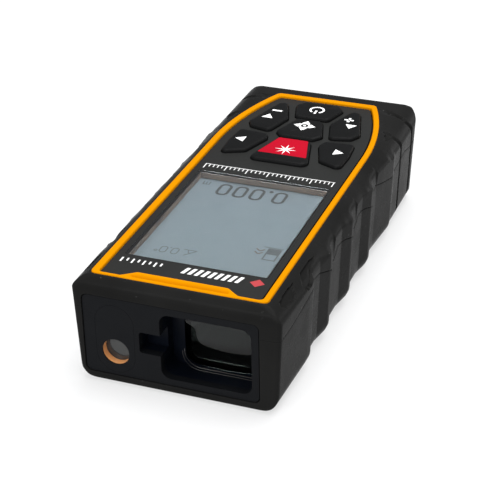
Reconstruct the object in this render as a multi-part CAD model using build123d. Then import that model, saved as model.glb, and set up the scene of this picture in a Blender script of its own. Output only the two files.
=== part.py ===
from build123d import *
import os
from math import asin, degrees

# Handheld laser distance meter lying on its back. Millimetres. +Z is up, out of the
# screen; +Y is the measuring direction; +X is the user's right. The origin is in the
# middle of the outline, on the surface that the meter lies on.

# ---------------------------------------------------------------- body
NOSE_Y = 62.6            # the face that the beam leaves
REAR_Y = -63.9           # the end that distances are measured from
BODY_LENGTH = NOSE_Y - REAR_Y
TOP_Z = 29.35            # rubber beside the trim ring
PARTING_Z = 21.0         # upper shells above, lower shells below
BASE_HALF = 26.0         # half width at the bottom of a grip valley
SHOULDER_HALF = 27.15    # half width at the shoulder of a grip valley
SHOULDER_Z = 25.8
KNEE_HALF, KNEE_Z = 26.4, 28.0   # where the shoulder turns towards the ring
CROWN_HALF = 23.6        # where the shoulder slope meets the ring
BLOCK_RISE = 0.75        # how far the nose and tail blocks stand out of the grip valleys
RIB_RISE = 0.6           # how far a grip rib stands out
RIB_ROOT = 2.0           # how deep the ribs start inside the wall
RIB_PITCH = 18.3
RIB_START = 31.4         # where the first ramp leaves its valley
RIB_RAMP, RIB_CREST, RIB_STEP = 5.8, 1.4, 2.4
NOSE_BLOCK_END = 37.8
TAIL_RAMP_START, TAIL_RAMP_END = -19.7, -33.7
BASE_RADIUS = 4.5
SHOULDER_ROUND = 1.0
REAR_LEAN = 0.8          # the rear wall leans in by this much at the bottom
NOSE_RIM_Z = 27.7        # upper edge of the nose face
REAR_RIM_Z = 28.2
NOSE_SLOPE = 2.2         # length of the slope behind the nose edge
REAR_SLOPE = 1.4
REAR_CORNER = 5.0
NOSE_CORNER = 1.0
JACKET = 1.5             # rubber thickness
SHELL = 1.2              # hard casing thickness
SEAL_HALF = 0.25         # half width of the seal between the casings
SEAL_END_Y = 56.0
SCREW_SPOTS = [(21.4, 28.0), (-21.4, 28.0), (21.4, -48.0), (-21.4, -48.0)]
BOSS_RADIUS = 2.0
SCREW_RADIUS = 0.8
PILOT_RADIUS = SCREW_RADIUS + 0.01
SCREW_HEAD_RADIUS, SCREW_HEAD_Z = 1.55, (2.8, 4.0)
SCREW_WELL_RADIUS, SCREW_TIP_Z = 1.7, 25.4
BOARD_SCREW_SPOTS = [(9.0, -8.0), (-9.0, -8.0), (0.0, -55.6)]
BOARD_SCREW_HEAD, BOARD_SCREW_LENGTH = 0.9, 4.0
FAR = 80                 # beyond the body in any direction, for cutting blocks

# ---------------------------------------------------------------- trim ring and panel
RING_TOP = 30.0
RING_HALF = 23.0
RING_FRONT = 60.4
RING_REAR = -57.5
RING_ARC_START = -21.6   # the sides run straight to here, then curve in
RING_ARC_RADIUS = 88.5
RING_SIDE = 2.1
RING_FRONT_STRIP = 1.1
RING_REAR_STRIP = 2.3
RING_BEVEL = 0.5
TAB_HALF, TAB_ROOT_HALF, TAB_EDGE_Y = 11.7, 15.0, 57.1
SEAT_Z = TOP_Z - JACKET  # casing top: ring and panel rest on it
PANEL_TOP = 29.36
GAP = 0.05
LEDGE = 1.0

# ---------------------------------------------------------------- display
WINDOW_HALF, WINDOW_REAR, WINDOW_FRONT = 18.95, -1.5, 48.1
WINDOW_THICK = 1.0
FRAME_REACH = 0.65       # how far the frame shows inside the window, and reaches under the panel
LCD_TOP = 26.75
LCD_PANE = 0.7
BOARD_BOTTOM, BOARD_TOP = 23.2, 24.5
BOARD_HALF, BOARD_REAR, BOARD_FRONT = 19.4, -57.6, 50.8
BUZZER_X, BUZZER_Y = 8.0, 1.0
LCD_HALF, LCD_REAR, LCD_FRONT = 19.35, -2.4, 50.2

# ---------------------------------------------------------------- keys
KEY_TOP = 30.5
KEY_TRAVEL = 0.7
KEY_GAP = 0.15
KEY_FLANGE = 0.35
KEY_FLANGE_BOTTOM, KEY_FLANGE_TOP = 26.7, 27.7
KEY_DRAFT = 0.7
KEY_ROUND = 1.5
READ_ROUND = 2.0
DOME_RADIUS, DOME_HEIGHT = 2.6, 0.6
KEY_FOOT = BOARD_TOP + DOME_HEIGHT + KEY_TRAVEL + GAP

READ_SHAPE = [(9.0, -11.7), (5.0, -27.1), (-5.0, -27.1), (-9.0, -11.7)]
MENU_SHAPE = [(17.7, -12.8), (10.9, -15.8), (7.7, -25.3), (8.6, -28.4), (17.4, -29.2), (18.1, -21.0)]
PLUS_SHAPE = [(9.0, -30.5), (15.4, -32.0), (17.0, -35.3), (12.9, -49.8), (10.2, -51.3), (6.4, -40.2)]
REFERENCE_SHAPE = [(5.0, -28.2), (7.1, -30.9), (4.0, -41.0), (-4.0, -41.0), (-7.1, -30.9), (-5.0, -28.2)]
CLEAR_SHAPE = [(5.1, -42.1), (7.4, -50.2), (5.4, -53.2), (-5.4, -53.2), (-7.4, -50.2), (-5.1, -42.1)]
INLAY_SHAPE = [(6.95, -15.6), (4.2, -26.1), (-4.2, -26.1), (-6.95, -15.6)]
INLAY_DEPTH = 0.5
RIM_ROUND = 0.3
SIDE_KEY_FOOT_X, SIDE_KEY_FOOT_Y = 13.2, -21.6
ARROW_KEY_FOOT_X, ARROW_KEY_FOOT_Y = 11.9, -40.5

# ---------------------------------------------------------------- nose optics
PLATE_Y = NOSE_Y - 0.3
PLATE_BACK = 60.2
PLATE_X = (-21.55, 24.35)
PLATE_Z = (2.85, 24.75)
BAY_X = (-19.7, 4.0)
BAY_Z = (4.6, 22.8)
SLOT_X_END, SLOT_Z = 9.6, (10.7, 16.6)
LASER_X, LASER_Z = 16.1, 9.5
PILL_Z, PILL_RADIUS, PILL_HEIGHT = 13.2, 5.15, 19.2
LASER_HOLE_RADIUS = 3.6
LASER_GLASS_Y = 60.2
SLEEVE_RADIUS = 4.2
LENS_FRONT_Y, LENS_BACK_Y = 55.6, 51.2
LENS_X = (-19.65, 0.7)
LENS_Z = (4.65, 22.75)
LENS_CURVE = 42.0
HOOD_BACK = 54.4
CONE_FRONT, CONE_REAR = 51.0, 14.5
BARREL_REAR, BARREL_FRONT = 30.6, 56.0
BARREL_RADIUS = 4.6
SENSOR_X, SENSOR_Z = -8.5, 12.6
SENSOR_RADIUS, SENSOR_LENGTH = 2.6, 2.4
SENSOR_BOARD_THICK = 1.2

# ---------------------------------------------------------------- power and mounting
CELL_RADIUS, CELL_LENGTH = 5.15, 43.7
CELL_X, CELL_Z = 6.0, 8.4
CELL_MID_Y = -30.0
NUB_RADIUS, NUB_LENGTH = 1.9, 0.8
CONTACT_HALF, CONTACT_THICK, CONTACT_Z = 4.0, 0.4, (4.5, 13.0)
SPRING_RADIUS, SPRING_PITCH, WIRE_RADIUS = 2.9, 1.35, 0.25
BAY_HALF, BAY_REAR, BAY_FRONT, BAY_ROOF = 13.0, -58.0, -5.5, 15.2
BAY_WALL = 1.2
COVER_HALF, COVER_THICK, COVER_FRONT = 15.0, 1.8, -6.5
COVER_GAP = 0.1
RAIL_REACH, RAIL_LOW, RAIL_HIGH = 0.9, 0.7, 1.3
GROOVE_START, GROOVE_PITCH, GROOVE_LENGTH, GROOVE_COUNT = -14.0, 1.6, 12.0, 5
FLOOR_Z = JACKET + SHELL
INSERT_Y, INSERT_RADIUS, INSERT_LOW, INSERT_TOP = 1.5, 4.6, 0.3, 6.6
TRIPOD_BORE_RADIUS, TRIPOD_DEPTH = 2.6, 5.6


# ================================================================ helpers
def outline(points, radius=0.0):
    """A closed face through the points, with every corner rounded."""
    face = make_face(Polyline(*points, close=True))
    if radius:
        face = fillet(face.vertices(), radius)
    return face


def slab(face, low, high):
    """The plan face as a solid between two heights."""
    return extrude(Pos(0, 0, low) * face, amount=high - low)


def block(x, y, z):
    """A box between pairs of limits."""
    size = (x[1] - x[0], y[1] - y[0], z[1] - z[0])
    middle = ((x[0] + x[1]) / 2, (y[0] + y[1]) / 2, (z[0] + z[1]) / 2)
    return Pos(*middle) * Box(*size)


def post(x, y, radius, low, high):
    """An upright cylinder."""
    return Pos(x, y, (low + high) / 2) * Cylinder(radius, high - low)


def nose_prism(face, back, front):
    """A face drawn in X and Z as a solid between two Y positions."""
    plane = Plane(origin=(0, front, 0), x_dir=(1, 0, 0), z_dir=(0, -1, 0))
    return extrude(plane * face, amount=front - back)


def nose_rod(x, z, radius, back, front):
    """A cylinder along Y."""
    return nose_prism(Pos(x, z) * Circle(radius), back, front)


def limits_face(x, y, radius=0.0):
    """A rectangle between limits, with rounded corners."""
    return outline([(x[0], y[0]), (x[1], y[0]), (x[1], y[1]), (x[0], y[1])], radius)


def both_sides(shape):
    """A shape and its mirror image across the middle of the meter."""
    return [shape, mirror(shape, about=Plane.YZ)]


# ================================================================ body shells
def cross_section(rise=0.0):
    """The body across its width; rise lifts the sides to rib height."""
    base, shoulder = BASE_HALF + rise, SHOULDER_HALF + rise
    right = [(base, 0), (shoulder, SHOULDER_Z), (KNEE_HALF, KNEE_Z), (CROWN_HALF, TOP_Z)]
    face = outline(right + [(-x, z) for x, z in reversed(right)])
    corners = face.vertices().sort_by(Axis.Y)
    face = fillet(corners[:2], BASE_RADIUS)
    turns = [v for v in face.vertices() if SHOULDER_Z - GAP < v.Y < KNEE_Z + GAP]
    return fillet(turns, SHOULDER_ROUND)


def long_section():
    """The body along its length."""
    face = outline([(REAR_Y + REAR_LEAN, 0), (NOSE_Y, 0), (NOSE_Y, NOSE_RIM_Z),
                    (NOSE_Y - NOSE_SLOPE, TOP_Z), (REAR_Y + REAR_SLOPE, TOP_Z), (REAR_Y, REAR_RIM_Z)])
    return fillet(face.vertices().sort_by(Axis.Y)[:2], 1.2)


def plan_section(half_width):
    """The body from above: a large radius at the rear, a small one at the nose."""
    face = limits_face((-half_width, half_width), (REAR_Y, NOSE_Y))
    ends = face.vertices().sort_by(Axis.Y)
    face = fillet(ends[:2], REAR_CORNER)
    front = [v for v in face.vertices() if v.Y > NOSE_Y - GAP]
    return fillet(front, NOSE_CORNER)


def body_block(inset=0.0, rise=0.0):
    """The whole body as one solid, moved inwards by inset on every side."""
    across = cross_section(rise)
    along = long_section()
    above = plan_section(SHOULDER_HALF + rise)
    if inset:
        across, along, above = (offset(face, -inset) for face in (across, along, above))
    solid = extrude(Plane.XZ * across, amount=BODY_LENGTH, both=True)
    solid = solid & extrude(Plane.YZ * along, amount=BODY_LENGTH, both=True)
    return solid & extrude(above, amount=BODY_LENGTH)


def rib_plans():
    """Grip ribs in plan on the right side: a ramp, a crest and a short step back."""
    root, crest = BASE_HALF - RIB_ROOT, BASE_HALF + RIB_RISE
    plans = []
    for rib in range(3):
        start = RIB_START - rib * RIB_PITCH
        ramp_end = start - RIB_RAMP
        crest_end = ramp_end - RIB_CREST
        step_end = crest_end - RIB_STEP
        plans.append(outline([(root, start), (BASE_HALF, start), (crest, ramp_end), (crest, crest_end),
                              (BASE_HALF, step_end), (root, step_end)]))
    return plans


def block_plans():
    """The nose and tail blocks in plan on the right side."""
    root, crest = BASE_HALF - RIB_ROOT, BASE_HALF + BLOCK_RISE
    nose = outline([(root, NOSE_BLOCK_END), (BASE_HALF, NOSE_BLOCK_END), (crest, NOSE_BLOCK_END + 2.2),
                    (crest, NOSE_BLOCK_END + 4.4), (BASE_HALF + 0.1, FAR), (root, FAR)])
    tail = outline([(root, TAIL_RAMP_START), (BASE_HALF, TAIL_RAMP_START), (crest, TAIL_RAMP_END),
                    (crest - 0.3, TAIL_RAMP_END - 2.5), (crest - 0.3, -FAR), (root, -FAR)])
    return [nose, tail]


def ribbed_body():
    """The valley-level body with its ribs, nose block and tail block, which lean like the walls."""
    lean = (SHOULDER_HALF - BASE_HALF, 0, SHOULDER_Z)
    crest_body = body_block(rise=BLOCK_RISE)
    ribs = Part()
    for plan in rib_plans() + block_plans():
        ribs = ribs + both_sides(extrude(plan, amount=TOP_Z, dir=lean))
    return body_block() + (crest_body & ribs)


def above_parting(solid):
    return solid & block((-FAR, FAR), (-FAR, FAR), (PARTING_Z, FAR))


def below_parting(solid):
    return solid & block((-FAR, FAR), (-FAR, FAR), (-FAR, PARTING_Z))


def plate_opening():
    """The hole in the nose wall that takes the nose plate."""
    face = limits_face((PLATE_X[0] - GAP, PLATE_X[1] + GAP), (PLATE_Z[0] - GAP, PLATE_Z[1] + GAP), 1.5)
    return nose_prism(face, NOSE_Y - JACKET - SHELL - 0.02, NOSE_Y + 2)


def cover_opening():
    """The hole in the back for the battery cover, open at the rear end."""
    half = COVER_HALF + COVER_GAP
    rail_half = half + RAIL_REACH
    along = (-FAR, COVER_FRONT + COVER_GAP)
    hole = block((-half, half), along, (-1, COVER_THICK + COVER_GAP))
    return hole + block((-rail_half, rail_half), along, (RAIL_LOW - COVER_GAP, RAIL_HIGH + COVER_GAP))


def screw_wells():
    """Clearance for each casing screw and its head, from below."""
    wells = Part()
    for x, y in SCREW_SPOTS:
        wells = wells + post(x, y, SCREW_WELL_RADIUS, -1, SCREW_HEAD_Z[1])
        wells = wells + post(x, y, SCREW_RADIUS + 0.2, SCREW_HEAD_Z[0], PARTING_Z)
    return wells


def insert_hole():
    """The hole in the back for the tripod thread."""
    return post(0, INSERT_Y, INSERT_RADIUS + 0.02, -1, INSERT_TOP)


# ---------------------------------------------------------------- trim ring outline
def ring_outline(side=0.0, front=0.0, rear=0.0, radius=1.6):
    """The outline inside the orange trim, moved in by its own amount on each edge."""
    half, front_y, rear_y = RING_HALF - side, RING_FRONT - front, RING_REAR + rear
    curve = RING_ARC_RADIUS - side
    turn = degrees(asin((RING_ARC_START - rear_y) / curve))
    straight = Line((half, front_y), (half, RING_ARC_START))
    bend = CenterArc((RING_HALF - RING_ARC_RADIUS, RING_ARC_START), curve, 0, -turn)
    end = bend @ 1
    edges = both_sides(straight) + both_sides(bend)
    edges += [Line((-half, front_y), (half, front_y)), Line((-end.X, end.Y), (end.X, end.Y))]
    face = make_face(Curve() + edges)
    corners = [v for v in face.vertices() if abs(v.Y - front_y) < GAP or abs(v.Y - rear_y) < GAP]
    return fillet(corners, radius)


def ring_hole(extra=0.0):
    """The area inside the ring, less the tab at the middle of its front edge."""
    inner = ring_outline(RING_SIDE + extra, RING_FRONT_STRIP + extra, RING_REAR_STRIP + extra, 1.2)
    edge = TAB_EDGE_Y - extra
    tab = outline([(-TAB_HALF - extra, edge), (TAB_HALF + extra, edge),
                   (TAB_ROOT_HALF + extra, RING_FRONT), (-TAB_ROOT_HALF - extra, RING_FRONT)])
    return inner - tab


def trim_ring():
    ring = slab(ring_outline() - ring_hole(), SEAT_Z, RING_TOP)
    top = ring.faces().sort_by(Axis.Z)[-1]
    inner_rims = top.inner_wires()[0].edges()
    ring = chamfer(inner_rims, RING_BEVEL)
    outer_rims = ring.faces().sort_by(Axis.Z)[-1].outer_wire().edges()
    return chamfer(outer_rims, 0.25)


def upper_jacket():
    shell = ribbed_body() - body_block(JACKET)
    pocket = slab(ring_outline(-0.03, -0.03, -0.03), SEAT_Z - 1, TOP_Z + 1)
    return above_parting(shell) - pocket - plate_opening()


def upper_casing():
    shell = body_block(JACKET) - body_block(JACKET + SHELL)
    bosses = [post(x, y, BOSS_RADIUS, PARTING_Z, SEAT_Z - SHELL) for x, y in SCREW_SPOTS]
    holes = [post(x, y, PILOT_RADIUS, PARTING_Z - 1, SCREW_TIP_Z + 0.2) for x, y in SCREW_SPOTS]
    hole = ring_outline(RING_SIDE + LEDGE, RING_FRONT - TAB_EDGE_Y + LEDGE, RING_REAR_STRIP + LEDGE, 1.0)
    opening = slab(hole, SEAT_Z - 3, SEAT_Z + 1)
    return above_parting(shell) + bosses - (Part() + holes) - opening - plate_opening()


def lower_jacket():
    shell = ribbed_body() - body_block(JACKET)
    return below_parting(shell) - plate_opening() - cover_opening() - screw_wells() - insert_hole()


def battery_bay():
    """Walls and roof of the battery compartment, standing on the lower casing."""
    outer = block((-BAY_HALF - BAY_WALL, BAY_HALF + BAY_WALL), (BAY_REAR - BAY_WALL, BAY_FRONT + BAY_WALL),
                  (JACKET, BAY_ROOF + BAY_WALL))
    return outer & body_block(JACKET)


def bay_space():
    return block((-BAY_HALF, BAY_HALF), (BAY_REAR, BAY_FRONT), (JACKET - 1, BAY_ROOF))


def lower_casing():
    shell = below_parting(body_block(JACKET) - body_block(JACKET + SHELL))
    bosses = Part() + [post(x, y, BOSS_RADIUS, FLOOR_Z - 0.5, PARTING_Z) for x, y in SCREW_SPOTS]
    bosses = bosses & body_block(JACKET + GAP)
    stands = [post(x, y, BOSS_RADIUS - 0.3, BAY_ROOF + 0.5, BOARD_BOTTOM) for x, y in BOARD_SCREW_SPOTS]
    pilot_low = BOARD_BOTTOM - BOARD_SCREW_LENGTH - 0.5
    pilots = [post(x, y, PILOT_RADIUS, pilot_low, BOARD_BOTTOM + 1) for x, y in BOARD_SCREW_SPOTS]
    socket = post(0, INSERT_Y, INSERT_RADIUS + 1.4, FLOOR_Z - 0.5, INSERT_TOP + 1.2)
    solid = shell + bosses + stands + socket + battery_bay()
    solid = solid - bay_space() - cover_opening() - screw_wells() - insert_hole() - (Part() + pilots)
    return solid - plate_opening() - gasket_channel()


def gasket_channel(grow=0.0):
    """The seal's path round the joint between the casings, open at the nose."""
    middle = JACKET + SHELL / 2
    plan = plan_section(SHOULDER_HALF - SEAL_HALF)
    ring = offset(plan, -middle + SEAL_HALF + grow) - offset(plan, -middle - SEAL_HALF - grow)
    channel = slab(ring, PARTING_Z - 2 * SEAL_HALF, PARTING_Z + grow)
    return channel - block((-FAR, FAR), (SEAL_END_Y + grow, FAR), (0, FAR))


# ================================================================ display and keys
def front_panel():
    face = ring_hole(GAP) - window_face(0, 0.6)
    for shape in key_faces().values():
        face = face - offset(shape, KEY_GAP)
    return slab(face, SEAT_Z, PANEL_TOP)


def display_window():
    return slab(window_face(-GAP, 0.6), PANEL_TOP - WINDOW_THICK, PANEL_TOP - 0.02)


def window_face(grow, radius):
    """The window's outline, moved outwards by grow."""
    along = (WINDOW_REAR - grow, WINDOW_FRONT + grow)
    return limits_face((-WINDOW_HALF - grow, WINDOW_HALF + grow), along, radius)


def display_frame():
    """The moulded frame between the glass and the window."""
    skirt = window_face(FRAME_REACH, 0.6)
    lip = window_face(-GAP, 0.6)
    view = window_face(-FRAME_REACH, 0.4)
    step_z = SEAT_Z - GAP
    return slab(skirt - view, LCD_TOP, step_z) + slab(lip - view, step_z, PANEL_TOP - WINDOW_THICK)


def lcd_face(ledge=0.0):
    return limits_face((-LCD_HALF, LCD_HALF), (LCD_REAR + ledge, LCD_FRONT), 0.4)


def lcd_glass():
    """Two panes; the lower one reaches further back to carry the connections."""
    lower = slab(lcd_face(), LCD_TOP - 2 * LCD_PANE, LCD_TOP - LCD_PANE)
    return lower + slab(lcd_face(2.0), LCD_TOP - LCD_PANE, LCD_TOP)


def backlight_guide():
    return slab(lcd_face(), BOARD_TOP, LCD_TOP - 2 * LCD_PANE)


def key_faces():
    """Each key's outline at panel height."""
    menu = outline(MENU_SHAPE, KEY_ROUND)
    plus = outline(PLUS_SHAPE, KEY_ROUND)
    return {
        "key_read": outline(READ_SHAPE, READ_ROUND),
        "key_menu": menu,
        "key_function": mirror(menu, about=Plane.YZ),
        "key_plus": mirror(plus, about=Plane.YZ),
        "key_minus": plus,
        "key_reference": outline(REFERENCE_SHAPE, KEY_ROUND),
        "key_clear": outline(CLEAR_SHAPE, KEY_ROUND),
    }


KEY_FEET = {
    "key_read": (0, -19.2),
    "key_menu": (SIDE_KEY_FOOT_X, SIDE_KEY_FOOT_Y),
    "key_function": (-SIDE_KEY_FOOT_X, SIDE_KEY_FOOT_Y),
    "key_plus": (-ARROW_KEY_FOOT_X, ARROW_KEY_FOOT_Y),
    "key_minus": (ARROW_KEY_FOOT_X, ARROW_KEY_FOOT_Y),
    "key_reference": (0, -34.4),
    "key_clear": (0, -47.4),
}


def key_cap(face, foot):
    """A drafted cap with a flange under the panel and a foot over its dome."""
    stem = slab(face, KEY_FLANGE_TOP, PANEL_TOP)
    crown = loft([Pos(0, 0, PANEL_TOP) * face, Pos(0, 0, KEY_TOP) * offset(face, -KEY_DRAFT)])
    rim = [edge for edge in crown.edges() if edge.center().Z > KEY_TOP - GAP]
    crown = fillet(rim, RIM_ROUND)
    flange = slab(offset(face, KEY_FLANGE), KEY_FLANGE_BOTTOM, KEY_FLANGE_TOP)
    return crown + stem + flange + post(foot[0], foot[1], 1.5, KEY_FOOT, KEY_FLANGE_BOTTOM)


def read_inlay():
    """The red moulding let into the measuring key."""
    return slab(outline(INLAY_SHAPE, 0.5), KEY_TOP - INLAY_DEPTH, KEY_TOP)


def dome_switches():
    return Part() + [Pos(x, y, BOARD_TOP + DOME_HEIGHT / 2) * Cone(DOME_RADIUS, 1.2, DOME_HEIGHT)
                     for x, y in KEY_FEET.values()]


def dome_sheet():
    face = limits_face((-17.5, 17.5), (-53.5, -11.5), 1.5)
    for x, y in KEY_FEET.values():
        face = face - Pos(x, y) * Circle(DOME_RADIUS + 0.1)
    return slab(face, BOARD_TOP, BOARD_TOP + 0.2)


# ================================================================ electronics
def main_board():
    face = limits_face((-BOARD_HALF, BOARD_HALF), (BOARD_REAR, BOARD_FRONT), 4.0)
    for x, y in BOARD_SCREW_SPOTS:
        face = face - Pos(x, y) * Circle(SCREW_RADIUS + 0.15)
    for x, y in SCREW_SPOTS:
        face = face - Pos(x, y) * Circle(BOSS_RADIUS + 0.3)
    return slab(face, BOARD_BOTTOM, BOARD_TOP)


def screw(x, y, tip, shoulder, head):
    """A slotted screw from its tip to its shoulder and on to the outside of its head."""
    shank = post(x, y, SCREW_RADIUS, min(tip, shoulder), max(tip, shoulder))
    top = post(x, y, SCREW_HEAD_RADIUS, min(shoulder, head), max(shoulder, head))
    return shank + top - Pos(x, y, head) * Box(2.2, 0.4, 0.8)


def board_screws():
    tip, head = BOARD_BOTTOM - BOARD_SCREW_LENGTH, BOARD_TOP + BOARD_SCREW_HEAD
    return Part() + [screw(x, y, tip, BOARD_TOP, head) for x, y in BOARD_SCREW_SPOTS]


def casing_screws():
    head, shoulder = SCREW_HEAD_Z
    return Part() + [screw(x, y, SCREW_TIP_Z, shoulder, head) for x, y in SCREW_SPOTS]


def processor_chip():
    return block((-13, -4), (-4, 5), (BOARD_BOTTOM - 1.2, BOARD_BOTTOM))


def buzzer():
    can = post(BUZZER_X, BUZZER_Y, 4.6, BOARD_BOTTOM - 3.2, BOARD_BOTTOM)
    return can - post(BUZZER_X, BUZZER_Y, 0.9, BOARD_BOTTOM - 4, BOARD_BOTTOM - 2.4)


# ================================================================ nose and optics
def receiver_face(grow=0.0, radius=2.5):
    """The receiver's window in the nose plate, without its side slot."""
    return limits_face((BAY_X[0] - grow, BAY_X[1] + grow), (BAY_Z[0] - grow, BAY_Z[1] + grow), radius + grow)


def slot_face():
    return limits_face((BAY_X[1] - 3, SLOT_X_END), SLOT_Z, 0.8)


def pill_face(radius):
    straight = PILL_HEIGHT - 2 * PILL_RADIUS
    return Pos(LASER_X, PILL_Z) * Rot(0, 0, 90) * SlotOverall(straight + 2 * radius, 2 * radius)


def nose_plate():
    face = limits_face(PLATE_X, PLATE_Z, 1.5) - receiver_face() - slot_face() - pill_face(PILL_RADIUS + GAP)
    return nose_prism(face, PLATE_BACK, PLATE_Y)


def receiver_hood():
    """Dark walls between the nose plate and the lens, with a blind pocket behind the slot."""
    wall = 1.1
    tube = nose_prism(receiver_face(wall), HOOD_BACK, PLATE_BACK)
    cheek = limits_face((BAY_X[1] - 1, SLOT_X_END + 0.6), (SLOT_Z[0] - 0.8, SLOT_Z[1] + 0.8), 0.8)
    pocket = nose_prism(cheek, PLATE_BACK - 3.6, PLATE_BACK)
    bore = nose_prism(receiver_face(), HOOD_BACK - 1, PLATE_BACK + 1)
    slot = nose_prism(slot_face(), PLATE_BACK - 2.8, PLATE_BACK + 1)
    return tube + pocket - bore - slot


def lens_face(grow=0.0):
    return limits_face((LENS_X[0] - grow, LENS_X[1] + grow), (LENS_Z[0] - grow, LENS_Z[1] + grow), 3.0 + grow)


def receiver_lens():
    """A lens with a domed front, trimmed to the bay."""
    middle_x, middle_z = sum(LENS_X) / 2, sum(LENS_Z) / 2
    ball = Pos(middle_x, LENS_FRONT_Y - LENS_CURVE, middle_z) * Sphere(LENS_CURVE)
    return nose_prism(lens_face(), LENS_BACK_Y, LENS_FRONT_Y + 0.5) & ball


def lens_retainer():
    """The frame that holds the lens, filling the bay's back wall beside it."""
    face = limits_face((BAY_X[0] - 1.1, BAY_X[1] + 1.1), (BAY_Z[0] - 1.1, BAY_Z[1] + 1.1), 3.6)
    frame = nose_prism(face, CONE_FRONT, HOOD_BACK)
    frame = frame - nose_prism(lens_face(GAP), CONE_FRONT + 0.2, HOOD_BACK + 1)
    return frame - nose_prism(lens_face(-1.0), CONE_FRONT - 1, HOOD_BACK)


def cone_faces(wall):
    """Front and rear outlines of the light cone behind the lens."""
    front = limits_face((-21.2 + wall, 4.8 - wall), (FLOOR_Z + 0.3 + wall, 22.9 - wall), 2.0)
    rear = limits_face((-15.5 + wall, -1.5 - wall), (6.0 + wall, 19.2 - wall), 2.0)
    return front, rear


def cone_solid(wall, rear_y):
    front, rear = cone_faces(wall)
    planes = [Plane(origin=(0, y, 0), x_dir=(1, 0, 0), z_dir=(0, -1, 0)) for y in (CONE_FRONT, rear_y)]
    return loft([planes[0] * front, planes[1] * rear])


def optical_chassis():
    """The light cone, the laser block and the web that ties them together."""
    block_part = block((9.6, 22.4), (32.0, 50.0), (FLOOR_Z, 15.6))
    web = block((2.0, 10.0), (40.0, 50.0), (FLOOR_Z, 8.0))
    foot = block((-12.0, -5.0), (15.0, 21.0), (FLOOR_Z, 8.0))
    solid = cone_solid(0.0, CONE_REAR) + block_part + web + foot
    solid = solid - cone_solid(1.3, CONE_REAR + 1.3)
    bore = nose_rod(LASER_X, LASER_Z, BARREL_RADIUS + 0.02, 20, 60)
    eye = nose_rod(SENSOR_X, SENSOR_Z, SENSOR_RADIUS + 0.1, CONE_REAR - 1, CONE_REAR + 4)
    return (solid - bore - eye) & body_block(JACKET + SHELL + GAP)


def laser_barrel():
    tube = nose_rod(LASER_X, LASER_Z, BARREL_RADIUS, BARREL_REAR, BARREL_FRONT)
    front_bore = nose_rod(LASER_X, LASER_Z, 3.4, 36.0, BARREL_FRONT + 1)
    rear_bore = nose_rod(LASER_X, LASER_Z, 2.8, BARREL_REAR - 1, 37.0)
    return tube - front_bore - rear_bore


def collimator_lens():
    ball = Pos(LASER_X, 53.4 - 9.0, LASER_Z) * Sphere(9.0)
    return nose_rod(LASER_X, LASER_Z, 3.38, 50.6, 54.0) & ball


def laser_diode():
    can = nose_rod(LASER_X, LASER_Z, 2.78, 31.0, 32.2) + nose_rod(LASER_X, LASER_Z, 2.0, 32.2, 35.0)
    legs = [(0, 1.1), (-1, -0.6), (1, -0.6)]
    return can + [nose_rod(LASER_X + dx, LASER_Z + dz, 0.22, 26.5, 31.0) for dx, dz in legs]


def laser_insert():
    """The oval plug round the laser, with a stepped hole for sleeve and glass."""
    plug = nose_prism(pill_face(PILL_RADIUS), LASER_GLASS_Y - 0.9, PLATE_Y)
    hole = nose_rod(LASER_X, LASER_Z, LASER_HOLE_RADIUS, 50, 70)
    seat = nose_rod(LASER_X, LASER_Z, SLEEVE_RADIUS + 0.01, 50, PLATE_Y - 0.3)
    return plug - hole - seat


def laser_sleeve():
    tube = nose_rod(LASER_X, LASER_Z, SLEEVE_RADIUS, LASER_GLASS_Y, PLATE_Y - 0.3)
    return tube - nose_rod(LASER_X, LASER_Z, LASER_HOLE_RADIUS + 0.02, 50, 70)


def laser_window():
    return nose_rod(LASER_X, LASER_Z, SLEEVE_RADIUS, LASER_GLASS_Y - 0.9, LASER_GLASS_Y)


def laser_shroud():
    """The tube from the laser barrel to the back of the window."""
    tube = nose_rod(LASER_X, LASER_Z, 5.0, 54.6, LASER_GLASS_Y - 0.9)
    core = nose_rod(LASER_X, LASER_Z, BARREL_RADIUS + 0.02, 50, BARREL_FRONT)
    return tube - core - nose_rod(LASER_X, LASER_Z, 3.6, 50, 70)


def sensor_board():
    return block((-18, 1), (CONE_REAR - SENSOR_BOARD_THICK, CONE_REAR), (4.0, 21.0))


def light_sensor():
    return nose_rod(SENSOR_X, SENSOR_Z, SENSOR_RADIUS, CONE_REAR, CONE_REAR + SENSOR_LENGTH)


def sensor_shield():
    outer = block((-15.5, -1.5), (9.8, CONE_REAR - SENSOR_BOARD_THICK), (6.0, 19.2))
    return outer - block((-15.1, -1.9), (10.2, 20), (6.4, 18.8))


# ================================================================ power and mounting
def cell(x, nub_side):
    """A cell along Y; nub_side is +1 when the positive end points to the nose."""
    can = Pos(x, CELL_MID_Y, CELL_Z) * Rot(90, 0, 0) * Cylinder(CELL_RADIUS, CELL_LENGTH)
    can = fillet(can.edges(), 0.4)
    nub_y = CELL_MID_Y + nub_side * (CELL_LENGTH + NUB_LENGTH) / 2
    return can + Pos(x, nub_y, CELL_Z) * Rot(90, 0, 0) * Cylinder(NUB_RADIUS, NUB_LENGTH)


def cell_end(side):
    return CELL_MID_Y + side * CELL_LENGTH / 2


def battery_contacts():
    """Flat plates behind the springs and behind the positive ends."""
    front, rear = cell_end(1) + NUB_LENGTH, cell_end(-1) - NUB_LENGTH
    thick = CONTACT_THICK
    spots = [(CELL_X, (front, front + thick)), (CELL_X, (BAY_REAR, BAY_REAR + thick)),
             (-CELL_X, (rear - thick, rear)), (-CELL_X, (BAY_FRONT - thick, BAY_FRONT))]
    return Part() + [block((x - CONTACT_HALF, x + CONTACT_HALF), along, CONTACT_Z) for x, along in spots]


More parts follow.
